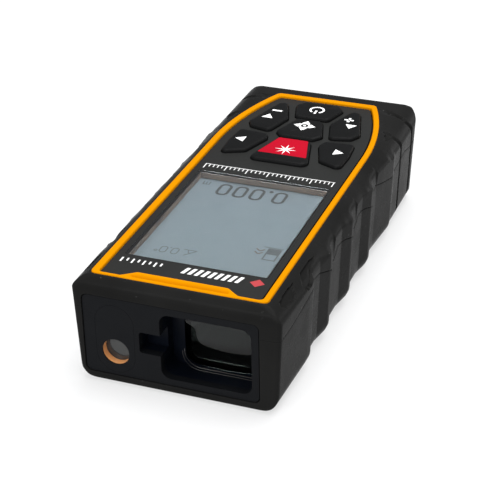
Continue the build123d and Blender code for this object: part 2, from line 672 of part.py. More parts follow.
def coil(x, start_y, length):
    """A compression spring along Y."""
    path = Helix(pitch=SPRING_PITCH, height=length - 0.6, radius=SPRING_RADIUS)
    wire = sweep(Plane(origin=path @ 0, z_dir=path % 0) * Circle(WIRE_RADIUS), path=path, is_frenet=True)
    return Pos(x, start_y + 0.3, CELL_Z) * Rot(-90, 0, 0) * wire


def battery_springs():
    rear_plate, front_plate = BAY_REAR + CONTACT_THICK, BAY_FRONT - CONTACT_THICK
    rear_gap, front_gap = cell_end(-1) - rear_plate, front_plate - cell_end(1)
    return Part() + [coil(CELL_X, rear_plate, rear_gap), coil(-CELL_X, cell_end(1), front_gap)]


def battery_cover():
    """A flush plate with side rails, which slides off towards the rear."""
    plate = block((-COVER_HALF, COVER_HALF), (-FAR, COVER_FRONT), (0, COVER_THICK))
    rail_half = COVER_HALF + RAIL_REACH
    plate = plate + block((-rail_half, rail_half), (-FAR, COVER_FRONT - 4), (RAIL_LOW, RAIL_HIGH))
    plate = plate & body_block()
    groove = Box(GROOVE_LENGTH, 0.7, 0.8)
    grooves = [Pos(0, GROOVE_START - GROOVE_PITCH * step, 0) * groove for step in range(GROOVE_COUNT)]
    return plate - (Part() + grooves)


def tripod_insert():
    body = post(0, INSERT_Y, INSERT_RADIUS, INSERT_LOW, INSERT_TOP)
    groove = post(0, INSERT_Y, INSERT_RADIUS + 1, 3.4, 4.2) - post(0, INSERT_Y, INSERT_RADIUS - 0.5, 3, 5)
    return body - groove - post(0, INSERT_Y, TRIPOD_BORE_RADIUS, 0, INSERT_LOW + TRIPOD_DEPTH)


# ================================================================ write the nodes
def build_nodes():
    nodes = {
        "upper_jacket": upper_jacket(),
        "lower_jacket": lower_jacket(),
        "upper_casing": upper_casing(),
        "lower_casing": lower_casing(),
        "casing_gasket": gasket_channel(-0.02),
        "trim_ring": trim_ring(),
        "front_panel": front_panel(),
        "display_window": display_window(),
        "display_frame": display_frame(),
        "lcd_glass": lcd_glass(),
        "backlight_guide": backlight_guide(),
        "dome_sheet": dome_sheet(),
        "dome_switches": dome_switches(),
        "key_read_inlay": read_inlay(),
        "main_board": main_board(),
        "board_screws": board_screws(),
        "casing_screws": casing_screws(),
        "processor_chip": processor_chip(),
        "buzzer": buzzer(),
        "nose_plate": nose_plate(),
        "receiver_hood": receiver_hood(),
        "receiver_lens": receiver_lens(),
        "lens_retainer": lens_retainer(),
        "optical_chassis": optical_chassis(),
        "laser_barrel": laser_barrel(),
        "collimator_lens": collimator_lens(),
        "laser_diode": laser_diode(),
        "laser_insert": laser_insert(),
        "laser_sleeve": laser_sleeve(),
        "laser_window": laser_window(),
        "laser_shroud": laser_shroud(),
        "sensor_board": sensor_board(),
        "light_sensor": light_sensor(),
        "sensor_shield": sensor_shield(),
        "battery_right": cell(CELL_X, 1),
        "battery_left": cell(-CELL_X, -1),
        "battery_contacts": battery_contacts(),
        "battery_springs": battery_springs(),
        "battery_cover": battery_cover(),
        "tripod_insert": tripod_insert(),
    }
    for name, face in key_faces().items():
        nodes[name] = key_cap(face, KEY_FEET[name])
    nodes["key_read"] = nodes["key_read"] - read_inlay()
    return nodes


os.makedirs("parts", exist_ok=True)
for name, solid in build_nodes().items():
    export_step(solid, f"parts/{name}.step")
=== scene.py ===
import bpy
import bmesh
import math
import numpy as np
from mathutils import Matrix, Vector


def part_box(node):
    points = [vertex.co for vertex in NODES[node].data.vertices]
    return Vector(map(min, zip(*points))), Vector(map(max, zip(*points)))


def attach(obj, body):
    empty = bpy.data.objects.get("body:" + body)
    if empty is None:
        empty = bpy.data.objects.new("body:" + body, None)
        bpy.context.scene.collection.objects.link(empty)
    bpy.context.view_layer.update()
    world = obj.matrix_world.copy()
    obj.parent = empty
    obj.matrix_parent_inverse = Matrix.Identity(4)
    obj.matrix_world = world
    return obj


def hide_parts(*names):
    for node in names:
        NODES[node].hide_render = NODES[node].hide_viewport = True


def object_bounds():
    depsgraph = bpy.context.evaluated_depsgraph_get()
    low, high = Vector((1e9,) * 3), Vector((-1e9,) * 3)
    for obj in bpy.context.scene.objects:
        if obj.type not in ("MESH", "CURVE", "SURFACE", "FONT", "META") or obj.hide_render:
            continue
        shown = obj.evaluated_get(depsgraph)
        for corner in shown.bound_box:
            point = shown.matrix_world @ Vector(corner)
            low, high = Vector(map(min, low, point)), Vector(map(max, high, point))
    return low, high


# Handheld laser distance meter on its back. Lengths in this file are in millimetres, but for
# the set, and are scaled to metres when a mesh is made. +X is the user's right, +Y the
# measuring direction, +Z up out of the screen.
MM = 0.001
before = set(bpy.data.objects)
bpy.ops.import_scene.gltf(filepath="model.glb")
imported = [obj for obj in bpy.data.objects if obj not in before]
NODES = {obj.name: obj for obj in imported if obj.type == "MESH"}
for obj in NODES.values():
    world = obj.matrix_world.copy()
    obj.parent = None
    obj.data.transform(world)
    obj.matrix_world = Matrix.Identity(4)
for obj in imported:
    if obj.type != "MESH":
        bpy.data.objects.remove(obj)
cad_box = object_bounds()


# ---------------- materials
def blank_material(name):
    """A new material with one shader on its output."""
    mat = bpy.data.materials.new(name)
    mat.use_nodes = True
    nodes = mat.node_tree.nodes
    nodes.clear()
    out = nodes.new("ShaderNodeOutputMaterial")
    shader = nodes.new("ShaderNodeBsdfPrincipled")
    mat.node_tree.links.new(shader.outputs[0], out.inputs[0])
    return mat, shader


def add(mat, kind, **values):
    """A new node with its settings and its named input values."""
    node = mat.node_tree.nodes.new(kind)
    for key, value in values.items():
        if hasattr(node, key):
            setattr(node, key, value)
        else:
            node.inputs[key.replace("_", " ")].default_value = value
    return node


def link(mat, a, b):
    mat.node_tree.links.new(a, b)


def noise(mat, scale, detail=2.0, rough=0.5, stretch=(1, 1, 1)):
    """Noise fixed to the object itself; scale is in cycles per metre."""
    coord = add(mat, "ShaderNodeTexCoord")
    mapping = add(mat, "ShaderNodeMapping")
    mapping.inputs["Scale"].default_value = stretch
    link(mat, coord.outputs["Object"], mapping.inputs["Vector"])
    tex = add(mat, "ShaderNodeTexNoise", Scale=scale, Detail=detail, Roughness=rough)
    link(mat, mapping.outputs[0], tex.inputs["Vector"])
    return tex.outputs[0]


def between(mat, fac, low, high, dark=0.35, light=0.65):
    """Maps the values from dark to light to the numbers from low to high."""
    node = add(mat, "ShaderNodeMapRange")
    node.inputs["From Min"].default_value = dark
    node.inputs["From Max"].default_value = light
    node.inputs["To Min"].default_value = low
    node.inputs["To Max"].default_value = high
    link(mat, fac, node.inputs["Value"])
    return node.outputs[0]


def blend_colour(mat, fac, a, b):
    """Mixes two colours, each a tuple or a socket."""
    node = add(mat, "ShaderNodeMix", data_type="RGBA")
    link(mat, fac, node.inputs[0])
    for socket, value in ((node.inputs[6], a), (node.inputs[7], b)):
        if isinstance(value, tuple):
            socket.default_value = (*value, 1)
        else:
            link(mat, value, socket)
    return node.outputs[2]


def bump(mat, height, strength, distance, under=None):
    """Surface relief; distance is its height in metres, under is another relief below it."""
    node = add(mat, "ShaderNodeBump", Strength=strength, Distance=distance)
    link(mat, height, node.inputs["Height"])
    if under is not None:
        link(mat, under, node.inputs["Normal"])
    return node.outputs[0]


def shade(colour, amount):
    """A lighter or darker version of a colour."""
    return tuple(c * amount for c in colour)


# cycles per metre of the slow colour drift and of the uneven gloss
DRIFT_SCALE, GLOSS_SCALE = 60.0, 240.0
# how sharp an edge is where the painted edge highlight starts, and where it is full on plastic and on rubber
EDGE_HIGHLIGHT_START, PLASTIC_EDGE_HIGHLIGHT, RUBBER_EDGE_HIGHLIGHT = 0.505, 0.56, 0.58


def moulded(name, colour, rough=0.5, spread=0.12, grain=2600.0, depth=0.02, vary=0.08,
            metal=0.0, specular=0.5, edge=0.0):
    """Plastic, metal or glass with fine surface grain, uneven gloss, faint colour drift and, where edge
    is given, edges lightened as a painted highlight. Depth is the height of the grain in millimetres."""
    mat, shader = blank_material(name)
    drift = between(mat, noise(mat, DRIFT_SCALE, 3.0), 0, 1)
    tone = blend_colour(mat, drift, shade(colour, 1 - vary), shade(colour, 1 + vary))
    # painted highlight: with edge given, sharp edges are blended towards a paler colour
    if edge:
        geo = add(mat, "ShaderNodeNewGeometry")
        edge_highlight = between(mat, geo.outputs["Pointiness"], 0, edge, EDGE_HIGHLIGHT_START, PLASTIC_EDGE_HIGHLIGHT)
        lighter = tuple(min(1.0, c * 2.2 + 0.02) for c in colour)
        tone = blend_colour(mat, edge_highlight, tone, lighter)
    link(mat, tone, shader.inputs["Base Color"])
    fine = noise(mat, grain, 4.0, 0.6)
    gloss = noise(mat, GLOSS_SCALE, 4.0)
    roughness = between(mat, gloss, rough * (1 - spread), rough * (1 + spread))
    link(mat, roughness, shader.inputs["Roughness"])
    link(mat, bump(mat, fine, 0.5, depth * MM), shader.inputs["Normal"])
    shader.inputs["Metallic"].default_value = metal
    shader.inputs["Specular IOR Level"].default_value = specular
    return mat


RUBBER_GLOSS, RUBBER_SPECULAR = (0.23, 0.31), 0.0095
DUST = (0.12, 0.12, 0.115)


def rubber(name, colour):
    """Soft overmoulded rubber: satin, finely grained, with dust caught in the grain; painted edge highlight.
    """
    mat, shader = blank_material(name)
    drift = between(mat, noise(mat, 45.0, 4.0), 0, 1)
    tone = blend_colour(mat, drift, shade(colour, 0.86), shade(colour, 1.14))
    # painted highlight: sharp edges of the rubber are blended towards a paler colour
    geo = add(mat, "ShaderNodeNewGeometry")
    edge_highlight = between(mat, geo.outputs["Pointiness"], 0, 0.35, EDGE_HIGHLIGHT_START, RUBBER_EDGE_HIGHLIGHT)
    tone = blend_colour(mat, edge_highlight, tone, shade(colour, 1.9))
    specks = noise(mat, 900.0, 2.0)
    tone = blend_colour(mat, between(mat, specks, 0, 0.5, 0.74, 0.80), tone, DUST)
    link(mat, tone, shader.inputs["Base Color"])
    gloss = noise(mat, 150.0, 5.0)
    link(mat, between(mat, gloss, *RUBBER_GLOSS), shader.inputs["Roughness"])
    cells = add(mat, "ShaderNodeTexVoronoi", Scale=2200.0)
    coord = add(mat, "ShaderNodeTexCoord")
    link(mat, coord.outputs["Object"], cells.inputs["Vector"])
    grain = bump(mat, cells.outputs["Distance"], 0.35, 0.03 * MM)
    soft = noise(mat, 260.0, 3.0)
    link(mat, bump(mat, soft, 0.2, 0.06 * MM, grain), shader.inputs["Normal"])
    shader.inputs["Specular IOR Level"].default_value = RUBBER_SPECULAR
    return mat


def clear_material(name, tint, rough, ior):
    """Glass or clear plastic with faint smears that change its gloss."""
    mat, shader = blank_material(name)
    shader.inputs["Base Color"].default_value = (*tint, 1)
    shader.inputs["Transmission Weight"].default_value = 1.0
    shader.inputs["IOR"].default_value = ior
    smear = noise(mat, 90.0, 4.0, 0.6, (1, 0.4, 1))
    link(mat, between(mat, smear, rough * 0.4, rough * 1.6), shader.inputs["Roughness"])
    return mat


LCD_FRONT_TONE = (0.196, 0.250, 0.275)
# the rear tone is the darker end of the painted shade
LCD_REAR_TONE = (0.187, 0.243, 0.275)
LCD_CLOUD_TONE = (0.165, 0.219, 0.243)
LCD_GRID_TONE = (0.20, 0.26, 0.30)
LCD_PIXEL, LCD_PIXEL_GAP = 0.42 * MM, 0.04 * MM
# painted shade: the display darkens a little between these two places along the display, towards the rear
LCD_PAINTED_SHADE_Y = (48.0 * MM, -2.0 * MM)


def lcd_material(name):
    """Pale reflective LCD with its fine pixel grid, an uneven backlight film and a painted shade towards the
    rear.
    """
    mat, shader = blank_material(name)
    coord = add(mat, "ShaderNodeTexCoord")
    split = add(mat, "ShaderNodeSeparateXYZ")
    link(mat, coord.outputs["Object"], split.inputs[0])
    # painted shade: the colour moves from the front tone to the slightly darker rear tone
    painted_shade = between(mat, split.outputs["Y"], 0, 1, *LCD_PAINTED_SHADE_Y)
    tone = blend_colour(mat, painted_shade, LCD_FRONT_TONE, LCD_REAR_TONE)
    cloud = between(mat, noise(mat, 70.0, 3.0), 0.0, 0.3)
    tone = blend_colour(mat, cloud, tone, LCD_CLOUD_TONE)
    grid = add(mat, "ShaderNodeTexBrick", Scale=1.0)
    grid.inputs["Brick Width"].default_value = LCD_PIXEL
    grid.inputs["Row Height"].default_value = LCD_PIXEL
    grid.inputs["Mortar Size"].default_value = LCD_PIXEL_GAP
    grid.offset = 0.0
    grid.inputs["Color1"].default_value = (0, 0, 0, 1)
    grid.inputs["Color2"].default_value = (0, 0, 0, 1)
    grid.inputs["Mortar"].default_value = (1, 1, 1, 1)
    link(mat, coord.outputs["Object"], grid.inputs["Vector"])
    lines = between(mat, grid.outputs["Color"], 0, 0.25, 0, 1)
    tone = blend_colour(mat, lines, tone, LCD_GRID_TONE)
    link(mat, tone, shader.inputs["Base Color"])
    gloss = noise(mat, 300.0, 2.0)
    link(mat, between(mat, gloss, 0.28, 0.4), shader.inputs["Roughness"])
    return mat


def print_material(name, colour, rough=0.6):
    """Screen-printed ink with slight speckle."""
    mat, shader = blank_material(name)
    specks = noise(mat, 5000.0, 3.0)
    tone = blend_colour(mat, between(mat, specks, 0, 1), shade(colour, 0.85), colour)
    link(mat, tone, shader.inputs["Base Color"])
    link(mat, between(mat, specks, rough - 0.1, rough + 0.1), shader.inputs["Roughness"])
    return mat


RUBBER = rubber("jacket_rubber", (0.0114, 0.0113, 0.0110))
SEAM = moulded("seam_dark", (0.004, 0.004, 0.004), 0.8)
ORANGE = moulded("trim_orange", (0.525, 0.194, 0.0), 0.5, 0.15, 1800, 0.01, 0.03, specular=0.008)
PANEL = moulded("panel_black", (0.0130, 0.0133, 0.0127), 0.5, 0.15, 3200, 0.012, 0.08, specular=0.09)
# painted highlight: edge lightens the sharp rims of the keys; the nose and cover materials below do the same
KEY = moulded("key_rubber", (0.0042, 0.0043, 0.0044), 0.5, 0.15, 2400, 0.02, 0.1, specular=0.045, edge=0.12)
RED = moulded("key_red", (0.34, 0.003, 0.014), 0.55, 0.12, 2400, 0.015, 0.05, specular=0.02)
TAUPE = moulded("frame_taupe", (0.21, 0.145, 0.10), 0.55, 0.1, 1500, 0.01, 0.12)
LCD = lcd_material("lcd_grey")
WINDOW = clear_material("window_clear", (0.97, 0.98, 0.98), 0.03, 1.46)
NOSE = moulded("nose_grey", (0.0020, 0.0024, 0.0033), 0.5, 0.15, 1500, 0.02, 0.1, specular=0.06, edge=0.15)
HOOD = moulded("hood_black", (0.0021, 0.0032, 0.0062), 0.4, 0.2, 1400, 0.01, 0.2, specular=0.08)
LENS = clear_material("lens_glass", (0.30, 0.37, 0.35), 0.02, 1.34)
AMBER = moulded("sleeve_amber", (0.85, 0.40, 0.15), 0.35, 0.15, 1800, 0.01, 0.1)
LASER_GLASS = moulded("laser_glass", (0.024, 0.026, 0.026), 0.12, 0.3, 900, 0.002, 0.1)
# painted glint: a pale colour for the thin beads in the receiver bay, standing in for the glints along the
# lens's lower edge
GLINT_BEAD = moulded("bead_painted_glint", (0.075, 0.07, 0.065), 0.25, 0.3, 700, 0.004, 0.25)
COVER = moulded("cover_black", (0.008, 0.008, 0.008), 0.5, 0.15, 2200, 0.02, 0.1, specular=0.25, edge=0.3)
CASING = moulded("casing_plastic", (0.007, 0.007, 0.0075), 0.55, specular=0.2)
BRASS = moulded("barrel_brass", (0.62, 0.43, 0.16), 0.32, 0.25, 1200, 0.006, 0.12, metal=1.0)
STEEL = moulded("screw_steel", (0.36, 0.36, 0.37), 0.34, 0.25, 1500, 0.006, 0.15, metal=1.0)
NICKEL = moulded("contact_nickel", (0.56, 0.54, 0.50), 0.28, 0.25, 1500, 0.004, 0.1, metal=1.0)
BOARD = moulded("board_green", (0.010, 0.070, 0.025), 0.35, 0.2, 1500, 0.01, 0.15)
CHIP = moulded("chip_black", (0.015, 0.015, 0.016), 0.5)
CHASSIS = moulded("chassis_black", (0.010, 0.010, 0.011), 0.6)
FILM = moulded("dome_film", (0.45, 0.42, 0.32), 0.3)
GUIDE = moulded("light_guide", (0.75, 0.76, 0.74), 0.3)
CELL = moulded("cell_wrap", (0.04, 0.10, 0.20), 0.3, 0.2, 900, 0.004, 0.1)
SEAL = moulded("gasket_silicone", (0.16, 0.16, 0.165), 0.6)
WHITE = print_material("print_white", (0.78, 0.78, 0.77))
MARK_RED = print_material("print_red", (0.36, 0.016, 0.022))
KEY_WHITE = print_material("key_print_white", (0.92, 0.92, 0.91))
SEGMENT = print_material("lcd_segment", (0.014, 0.0145, 0.014), 0.4)
SEGMENT_PALE = print_material("lcd_segment_pale", (0.085, 0.10, 0.105), 0.4)
SEGMENT_BROWN = print_material("lcd_segment_brown", (0.15, 0.105, 0.075), 0.4)

CAD_LOOKS = {
    "upper_casing": CASING, "lower_casing": CASING, "casing_gasket": SEAL, "front_panel": PANEL,
    "display_window": WINDOW, "display_frame": TAUPE, "lcd_glass": LCD, "backlight_guide": GUIDE,
    "dome_sheet": FILM, "dome_switches": STEEL, "main_board": BOARD, "board_screws": STEEL,
    "casing_screws": STEEL, "processor_chip": CHIP, "buzzer": CHIP, "nose_plate": NOSE,
    "receiver_hood": HOOD, "receiver_lens": LENS, "lens_retainer": HOOD, "optical_chassis": CHASSIS,
    "laser_barrel": BRASS, "collimator_lens": LENS, "laser_diode": STEEL, "laser_insert": NOSE,
    "laser_sleeve": AMBER, "laser_window": LASER_GLASS, "laser_shroud": HOOD, "sensor_board": BOARD,
    "light_sensor": CHIP, "sensor_shield": NICKEL, "battery_right": CELL, "battery_left": CELL,
    "battery_contacts": NICKEL, "battery_springs": NICKEL, "battery_cover": COVER, "tripod_insert": BRASS,
}
for node_name, look in CAD_LOOKS.items():
    node_mesh = NODES[node_name].data
    if not node_mesh.materials:
        node_mesh.materials.append(look)
    for slot_index in range(len(node_mesh.materials)):
        node_mesh.materials[slot_index] = look


# ---------------- mesh helpers
def mesh_object(name, points, faces, material, smooth=True, sharp=None, closed=True):
    """Points in millimetres to an object in metres."""
    mesh = bpy.data.meshes.new(name)
    mesh.from_pydata([tuple(float(c) * MM for c in p) for p in points], [], faces)
    mesh.materials.append(material)
    obj = bpy.data.objects.new(name, mesh)
    bpy.context.scene.collection.objects.link(obj)
    if smooth:
        mesh.polygons.foreach_set("use_smooth", [True] * len(mesh.polygons))
    if sharp is not None:
        sharpen(mesh, sharp)
    if closed:
        face_outwards(mesh)
    return obj


def sharpen(mesh, degrees):
    """Marks edges that turn by more than this as sharp."""
    bm = bmesh.new()
    bm.from_mesh(mesh)
    limit = math.radians(degrees)
    for edge in bm.edges:
        edge.smooth = not (len(edge.link_faces) == 2 and edge.calc_face_angle(0.0) > limit)
    bm.to_mesh(mesh)
    bm.free()


def face_outwards(mesh):
    """Drops unused points and turns every face of a closed mesh outwards."""
    bm = bmesh.new()
    bm.from_mesh(mesh)
    bmesh.ops.delete(bm, geom=[v for v in bm.verts if not v.link_faces], context="VERTS")
    bmesh.ops.recalc_face_normals(bm, faces=bm.faces)
    bm.to_mesh(mesh)
    bm.free()


def skin(rings, count):
    """Quads that join rings of count points each, one ring to the next."""
    faces = []
    for ring in range(rings - 1):
        a, b = ring * count, (ring + 1) * count
        faces += [(a + i, a + (i + 1) % count, b + (i + 1) % count, b + i) for i in range(count)]
    return faces


def end_faces(rings, count):
    """The two faces that close such a skin."""
    return [tuple(range(count)), tuple(range((rings - 1) * count, rings * count))]


def prism(name, outline, low, high, axis="z"):
    """A closed prism for cutting; axis "y" takes (x, z) points between two y values."""
    if axis == "z":
        points = [(x, y, z) for z in (low, high) for x, y in outline]
    else:
        points = [(x, y, z) for y in (low, high) for x, z in outline]
    faces = end_faces(2, len(outline)) + skin(2, len(outline))
    return mesh_object(name, points, faces, SEAM, smooth=False)


def rectangle(x0, y0, x1, y1):
    """An upright rectangle between two corners."""
    return [(x0, y0), (x1, y0), (x1, y1), (x0, y1)]


def circle_outline(x, y, radius, count=48):
    angles = [2 * math.pi * k / count for k in range(count)]
    return [(x + radius * math.cos(a), y + radius * math.sin(a)) for a in angles]


def mirrored(shape):
    """The same outline on the other side of the middle plane."""
    return [(-x, y) for x, y in reversed(shape)]


NEARLY_STRAIGHT = math.radians(89.5)


def rounded_outline(corners, radius, steps=8):
    """A polygon with its corners replaced by arcs; radius is one number or one per corner."""
    count = len(corners)
    radii = radius if isinstance(radius, (list, tuple)) else [radius] * count
    points = []
    for i in range(count):
        p = np.array(corners[i], float)
        a = np.array(corners[i - 1], float) - p
        b = np.array(corners[(i + 1) % count], float) - p
        a, b = a / np.linalg.norm(a), b / np.linalg.norm(b)
        half = math.acos(max(-1.0, min(1.0, float(a @ b)))) / 2
        r = radii[i]
        if r <= 0 or half > NEARLY_STRAIGHT:
            points.append(tuple(p))
            continue
        reach = r / math.tan(half)
        centre = p + (a + b) / np.linalg.norm(a + b) * (r / math.sin(half))
        start, end = p + a * reach - centre, p + b * reach - centre
        a0 = math.atan2(start[1], start[0])
        turn = (math.atan2(end[1], end[0]) - a0 + math.pi) % (2 * math.pi) - math.pi
        for k in range(steps + 1):
            t = a0 + turn * k / steps
            points.append((centre[0] + r * math.cos(t), centre[1] + r * math.sin(t)))
    return points


def cut(obj, cutters):
    """Cuts closed meshes out of a closed mesh and removes the cutters."""
    for cutter in cutters:
        step = obj.modifiers.new("cut", "BOOLEAN")
        step.operation = "DIFFERENCE"
        step.solver = "MANIFOLD"
        step.object = cutter
    graph = bpy.context.evaluated_depsgraph_get()
    made = bpy.data.meshes.new_from_object(obj.evaluated_get(graph))
    obj.modifiers.clear()
    obj.data = made
    for cutter in cutters:
        bpy.data.objects.remove(cutter)


PRINT_DEPTH = 0.03


def plate(name, outlines, z, material, body="housing"):
    """Print or display segments: thin closed solids with their upper faces at z. A pair
    (outer, inner) of outlines of equal length makes a ring."""
    points, faces = [], []
    for shape in outlines:
        start = len(points)
        loops = shape if isinstance(shape[0][0], (tuple, list)) else [shape]
        count = len(loops[0])
        layer = count * len(loops)
        for level in (z, z - PRINT_DEPTH):
            points += [(x, y, level) for loop in loops for x, y in loop]
        # each wall joins two loops of points, given by where they start
        walls = [(0, layer)]
        if len(loops) == 2:
            walls += [(0, count), (count, layer + count), (layer, layer + count)]
        for a, b in walls:
            faces += [(start + a + i, start + a + (i + 1) % count, start + b + (i + 1) % count, start + b + i)
                      for i in range(count)]
        if len(loops) == 1:
            faces += [tuple(range(start + k, start + k + count)) for k in (0, layer)]
    obj = mesh_object(name, points, faces, material, smooth=False)
    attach(obj, body)


# ---------------- rubber jackets
def round_max(a, b, radius):
    """The larger of two distances, with an arc of this radius where they meet."""
    return (np.minimum(np.maximum(a, b), -radius)
            + np.hypot(np.maximum(a + radius, 0), np.maximum(b + radius, 0)))


REAR_Y, NOSE_Y = cad_box[0][1] / MM, cad_box[1][1] / MM
# one side of a cross-section: a leaning wall, a shoulder from the wall's edge up to the knee,
# a flatter crown up to the trim ring, and a lip round the ring
BASE_HALF, WALL_LEAN = 26.0, 0.0446
KNEE, CROWN = (26.4, 28.0), (23.6, 29.33)
SIDE_LIP, FRONT_LIP, LIP_Y = 0.3, 0.62, (59.5, 60.0)
EDGE_ROUND, KNEE_ROUND, LIP_ROUND, BASE_ROUND = 0.3, 1.2, 0.5, 5.0
# how far the wall stands out of the grip valleys along the meter: tail block, ribs, nose block
RISE_Y = [-63.9, -37.0, -35.6, -33.6, -33.1, -19.3, -15.2, -12.4, -10.9, -5.2, 3.5, 5.9, 7.3, 13.3,
          21.8, 24.2, 25.6, 31.5, 37.8, 39.6, 42.3, 62.6]
RISE = [0.35, 0.35, 0.35, 0.74, 0.74, -0.3, -0.3, 0.72, 0.72, -0.3, -0.3, 0.72, 0.72, -0.3,
        -0.3, 0.72, 0.72, -0.3, -0.3, 0.74, 0.74, 0.05]
# height of the wall's upper edge: it sinks behind each rib and jumps up to an arrow head on
# the valley
EDGE_Y = [-31.0, -29.0, -19.8, -18.8, -13.0, -10.5, -8.5, -0.5, 0.5, 6.5, 9.0, 11.0, 19.0, 20.0, 26.2]
EDGE_Z = [25.8, 26.9, 27.15, 23.3, 25.5, 25.8, 26.8, 27.1, 23.3, 25.5, 25.8, 26.7, 27.0, 23.3, 25.8]
# the bevels over the nose and the tail: how steeply they fall along and up, and their height
# at the very end
NOSE_BEVEL, NOSE_BEVEL_Z = (0.68, 0.73), 27.7
REAR_BEVEL, REAR_BEVEL_Z = (1.15 / 1.81, 1.4 / 1.81), 28.2
REAR_LEAN = 0.8   # how far in the rear wall leans at its foot
NOSE_ROUND, REAR_ROUND, END_BASE_ROUND, END_JOIN, END_ROUND = 0.8, 1.2, 1.6, 1.0, 0.8
REAR_CORNER, NOSE_CORNER = 6.5, 1.4
# recessed pads on the shoulder, and the flat end of the first tail groove: distance along
# the meter, and height up the shoulder
SHOULDER_SCALE = 1.36
PADS = [
    [(32.7, 2.05), (35.8, 1.1), (41.5, -1.6), (45.3, -0.9), (45.2, 0.3), (42.3, 2.5), (40.1, 2.65),
     (35.3, 2.55)],
    [(47.2, 2.8), (48.9, 1.75), (50.5, 0.05), (56.0, 0.65), (57.6, 2.0), (56.5, 2.85), (51.8, 3.0)],
    [(-41.4, 4.9), (-36.2, 3.4), (-40.7, 2.1)],
]
# a pad is shallow at its rear end and deeper at its front end; its sides are this steep
PAD_DEPTH, PAD_STEEPNESS = (0.45, 0.95), 4.0
# two round grooves that climb the wall and bend over the shoulder
GROOVES = [
    [(27.0, -42.6, -2.0), (26.6, -42.6, 3.0), (27.7, -42.2, 24.9), (26.9, -41.0, 27.2),
     (25.0, -40.5, 28.8), (22.8, -40.9, 29.6)],
    [(27.0, -54.8, -2.0), (26.5, -54.8, 3.0), (27.6, -54.3, 24.0), (27.1, -53.4, 26.5),
     (25.5, -52.7, 28.6), (21.5, -53.6, 29.6), (18.5, -55.6, 29.7)],
]
GROOVE_RADIUS, GROOVE_LIFT = 0.85, 0.25   # the lift makes them shallower
FAR, TINY = 1e9, 1e-9


def polygon_distance(px, py, polygon):
    """Signed distance to a polygon, negative inside."""
    best = np.full(np.shape(px), FAR)
    inside = np.zeros(np.shape(px), bool)
    for (ax, ay), (bx, by) in zip(polygon, polygon[1:] + polygon[:1]):
        ex, ey = bx - ax, by - ay
        t = np.clip(((px - ax) * ex + (py - ay) * ey) / (ex * ex + ey * ey), 0, 1)
        best = np.minimum(best, np.hypot(px - ax - t * ex, py - ay - t * ey))
        crosses = (ay > py) != (by > py)
        inside ^= crosses & (px < ex * (py - ay) / (ey if ey else TINY) + ax)
    return np.where(inside, -best, best)


def line_distance(x, y, z, points):
    """Distance to a line of straight pieces in space."""
    best = np.full(np.shape(x), FAR)
    for a, b in zip(points, points[1:]):
        a, e = np.array(a), np.array(b) - np.array(a)
        t = np.clip(((x - a[0]) * e[0] + (y - a[1]) * e[1] + (z - a[2]) * e[2]) / (e @ e), 0, 1)
        gaps = [value - start - t * step for value, start, step in zip((x, y, z), a, e)]
        best = np.minimum(best, np.sqrt(gaps[0] ** 2 + gaps[1] ** 2 + gaps[2] ** 2))
    return best


def slope_distance(x, z, foot, top):
    """Distance outside a straight slope that falls outwards from top to foot, each (x, z)."""
    out, down = foot[0] - top[0], top[1] - foot[1]
    return ((x - top[0]) * down + (z - top[1]) * out) / np.hypot(down, out)


def section_distance(x, y, z, wall):
    """Distance outside the cross-section: wall, shoulder, crown, lip and rounded base."""
    edge = np.interp(y, EDGE_Y, EDGE_Z)
    edge_half = BASE_HALF + WALL_LEAN * edge + np.interp(y, RISE_Y, RISE)
    across = round_max(wall, slope_distance(x, z, (edge_half, edge), KNEE), EDGE_ROUND)
    across = round_max(across, slope_distance(x, z, KNEE, CROWN), KNEE_ROUND)
    top = CROWN[1] + np.interp(y, LIP_Y, (SIDE_LIP, FRONT_LIP))
    return round_max(round_max(across, z - top, LIP_ROUND), -z, BASE_ROUND)


def body_distance(x, y, z):
    """Signed distance-like value of the rubber-covered body, negative inside."""
    x = np.abs(x)
    wall = x - (BASE_HALF + WALL_LEAN * z + np.interp(y, RISE_Y, RISE))
    across = section_distance(x, y, z, wall)
    nose_bevel = NOSE_BEVEL[0] * (y - NOSE_Y) + NOSE_BEVEL[1] * (z - NOSE_BEVEL_Z)
    nose = round_max(round_max(y - NOSE_Y, nose_bevel, NOSE_ROUND), -z, END_BASE_ROUND)
    rear_bevel = REAR_BEVEL[0] * (REAR_Y - y) + REAR_BEVEL[1] * (z - REAR_BEVEL_Z)
    rear_wall = REAR_Y - y + REAR_LEAN * np.clip((REAR_BEVEL_Z - z) / REAR_BEVEL_Z, 0, 1)
    rear = round_max(round_max(rear_wall, rear_bevel, REAR_ROUND), -z, END_BASE_ROUND)
    along = round_max(nose, rear, END_JOIN)
    plan = round_max(round_max(wall, rear_wall, REAR_CORNER), y - NOSE_Y, NOSE_CORNER)
    body = np.maximum(round_max(across, along, END_ROUND), plan)
    for pad in PADS:
        inside = -polygon_distance(y, (z - x) / SHOULDER_SCALE, pad)
        ends = min(p[0] for p in pad), max(p[0] for p in pad)
        depth = np.interp(y, ends, PAD_DEPTH)
        body = np.maximum(body, np.minimum(inside * PAD_STEEPNESS, body + depth))
    for line in GROOVES:
        lifted = [(px + GROOVE_LIFT, py, pz) for px, py, pz in line]
        body = np.maximum(body, GROOVE_RADIUS - line_distance(x, y, z, lifted))
    return body


# a ray is searched between these two lengths, first in even steps and then by halving
SHORTEST, FIRST_STEP, LONGEST = 1.5, 2.0, 13.0
SEARCH_STEPS, HALVINGS = 34, 16


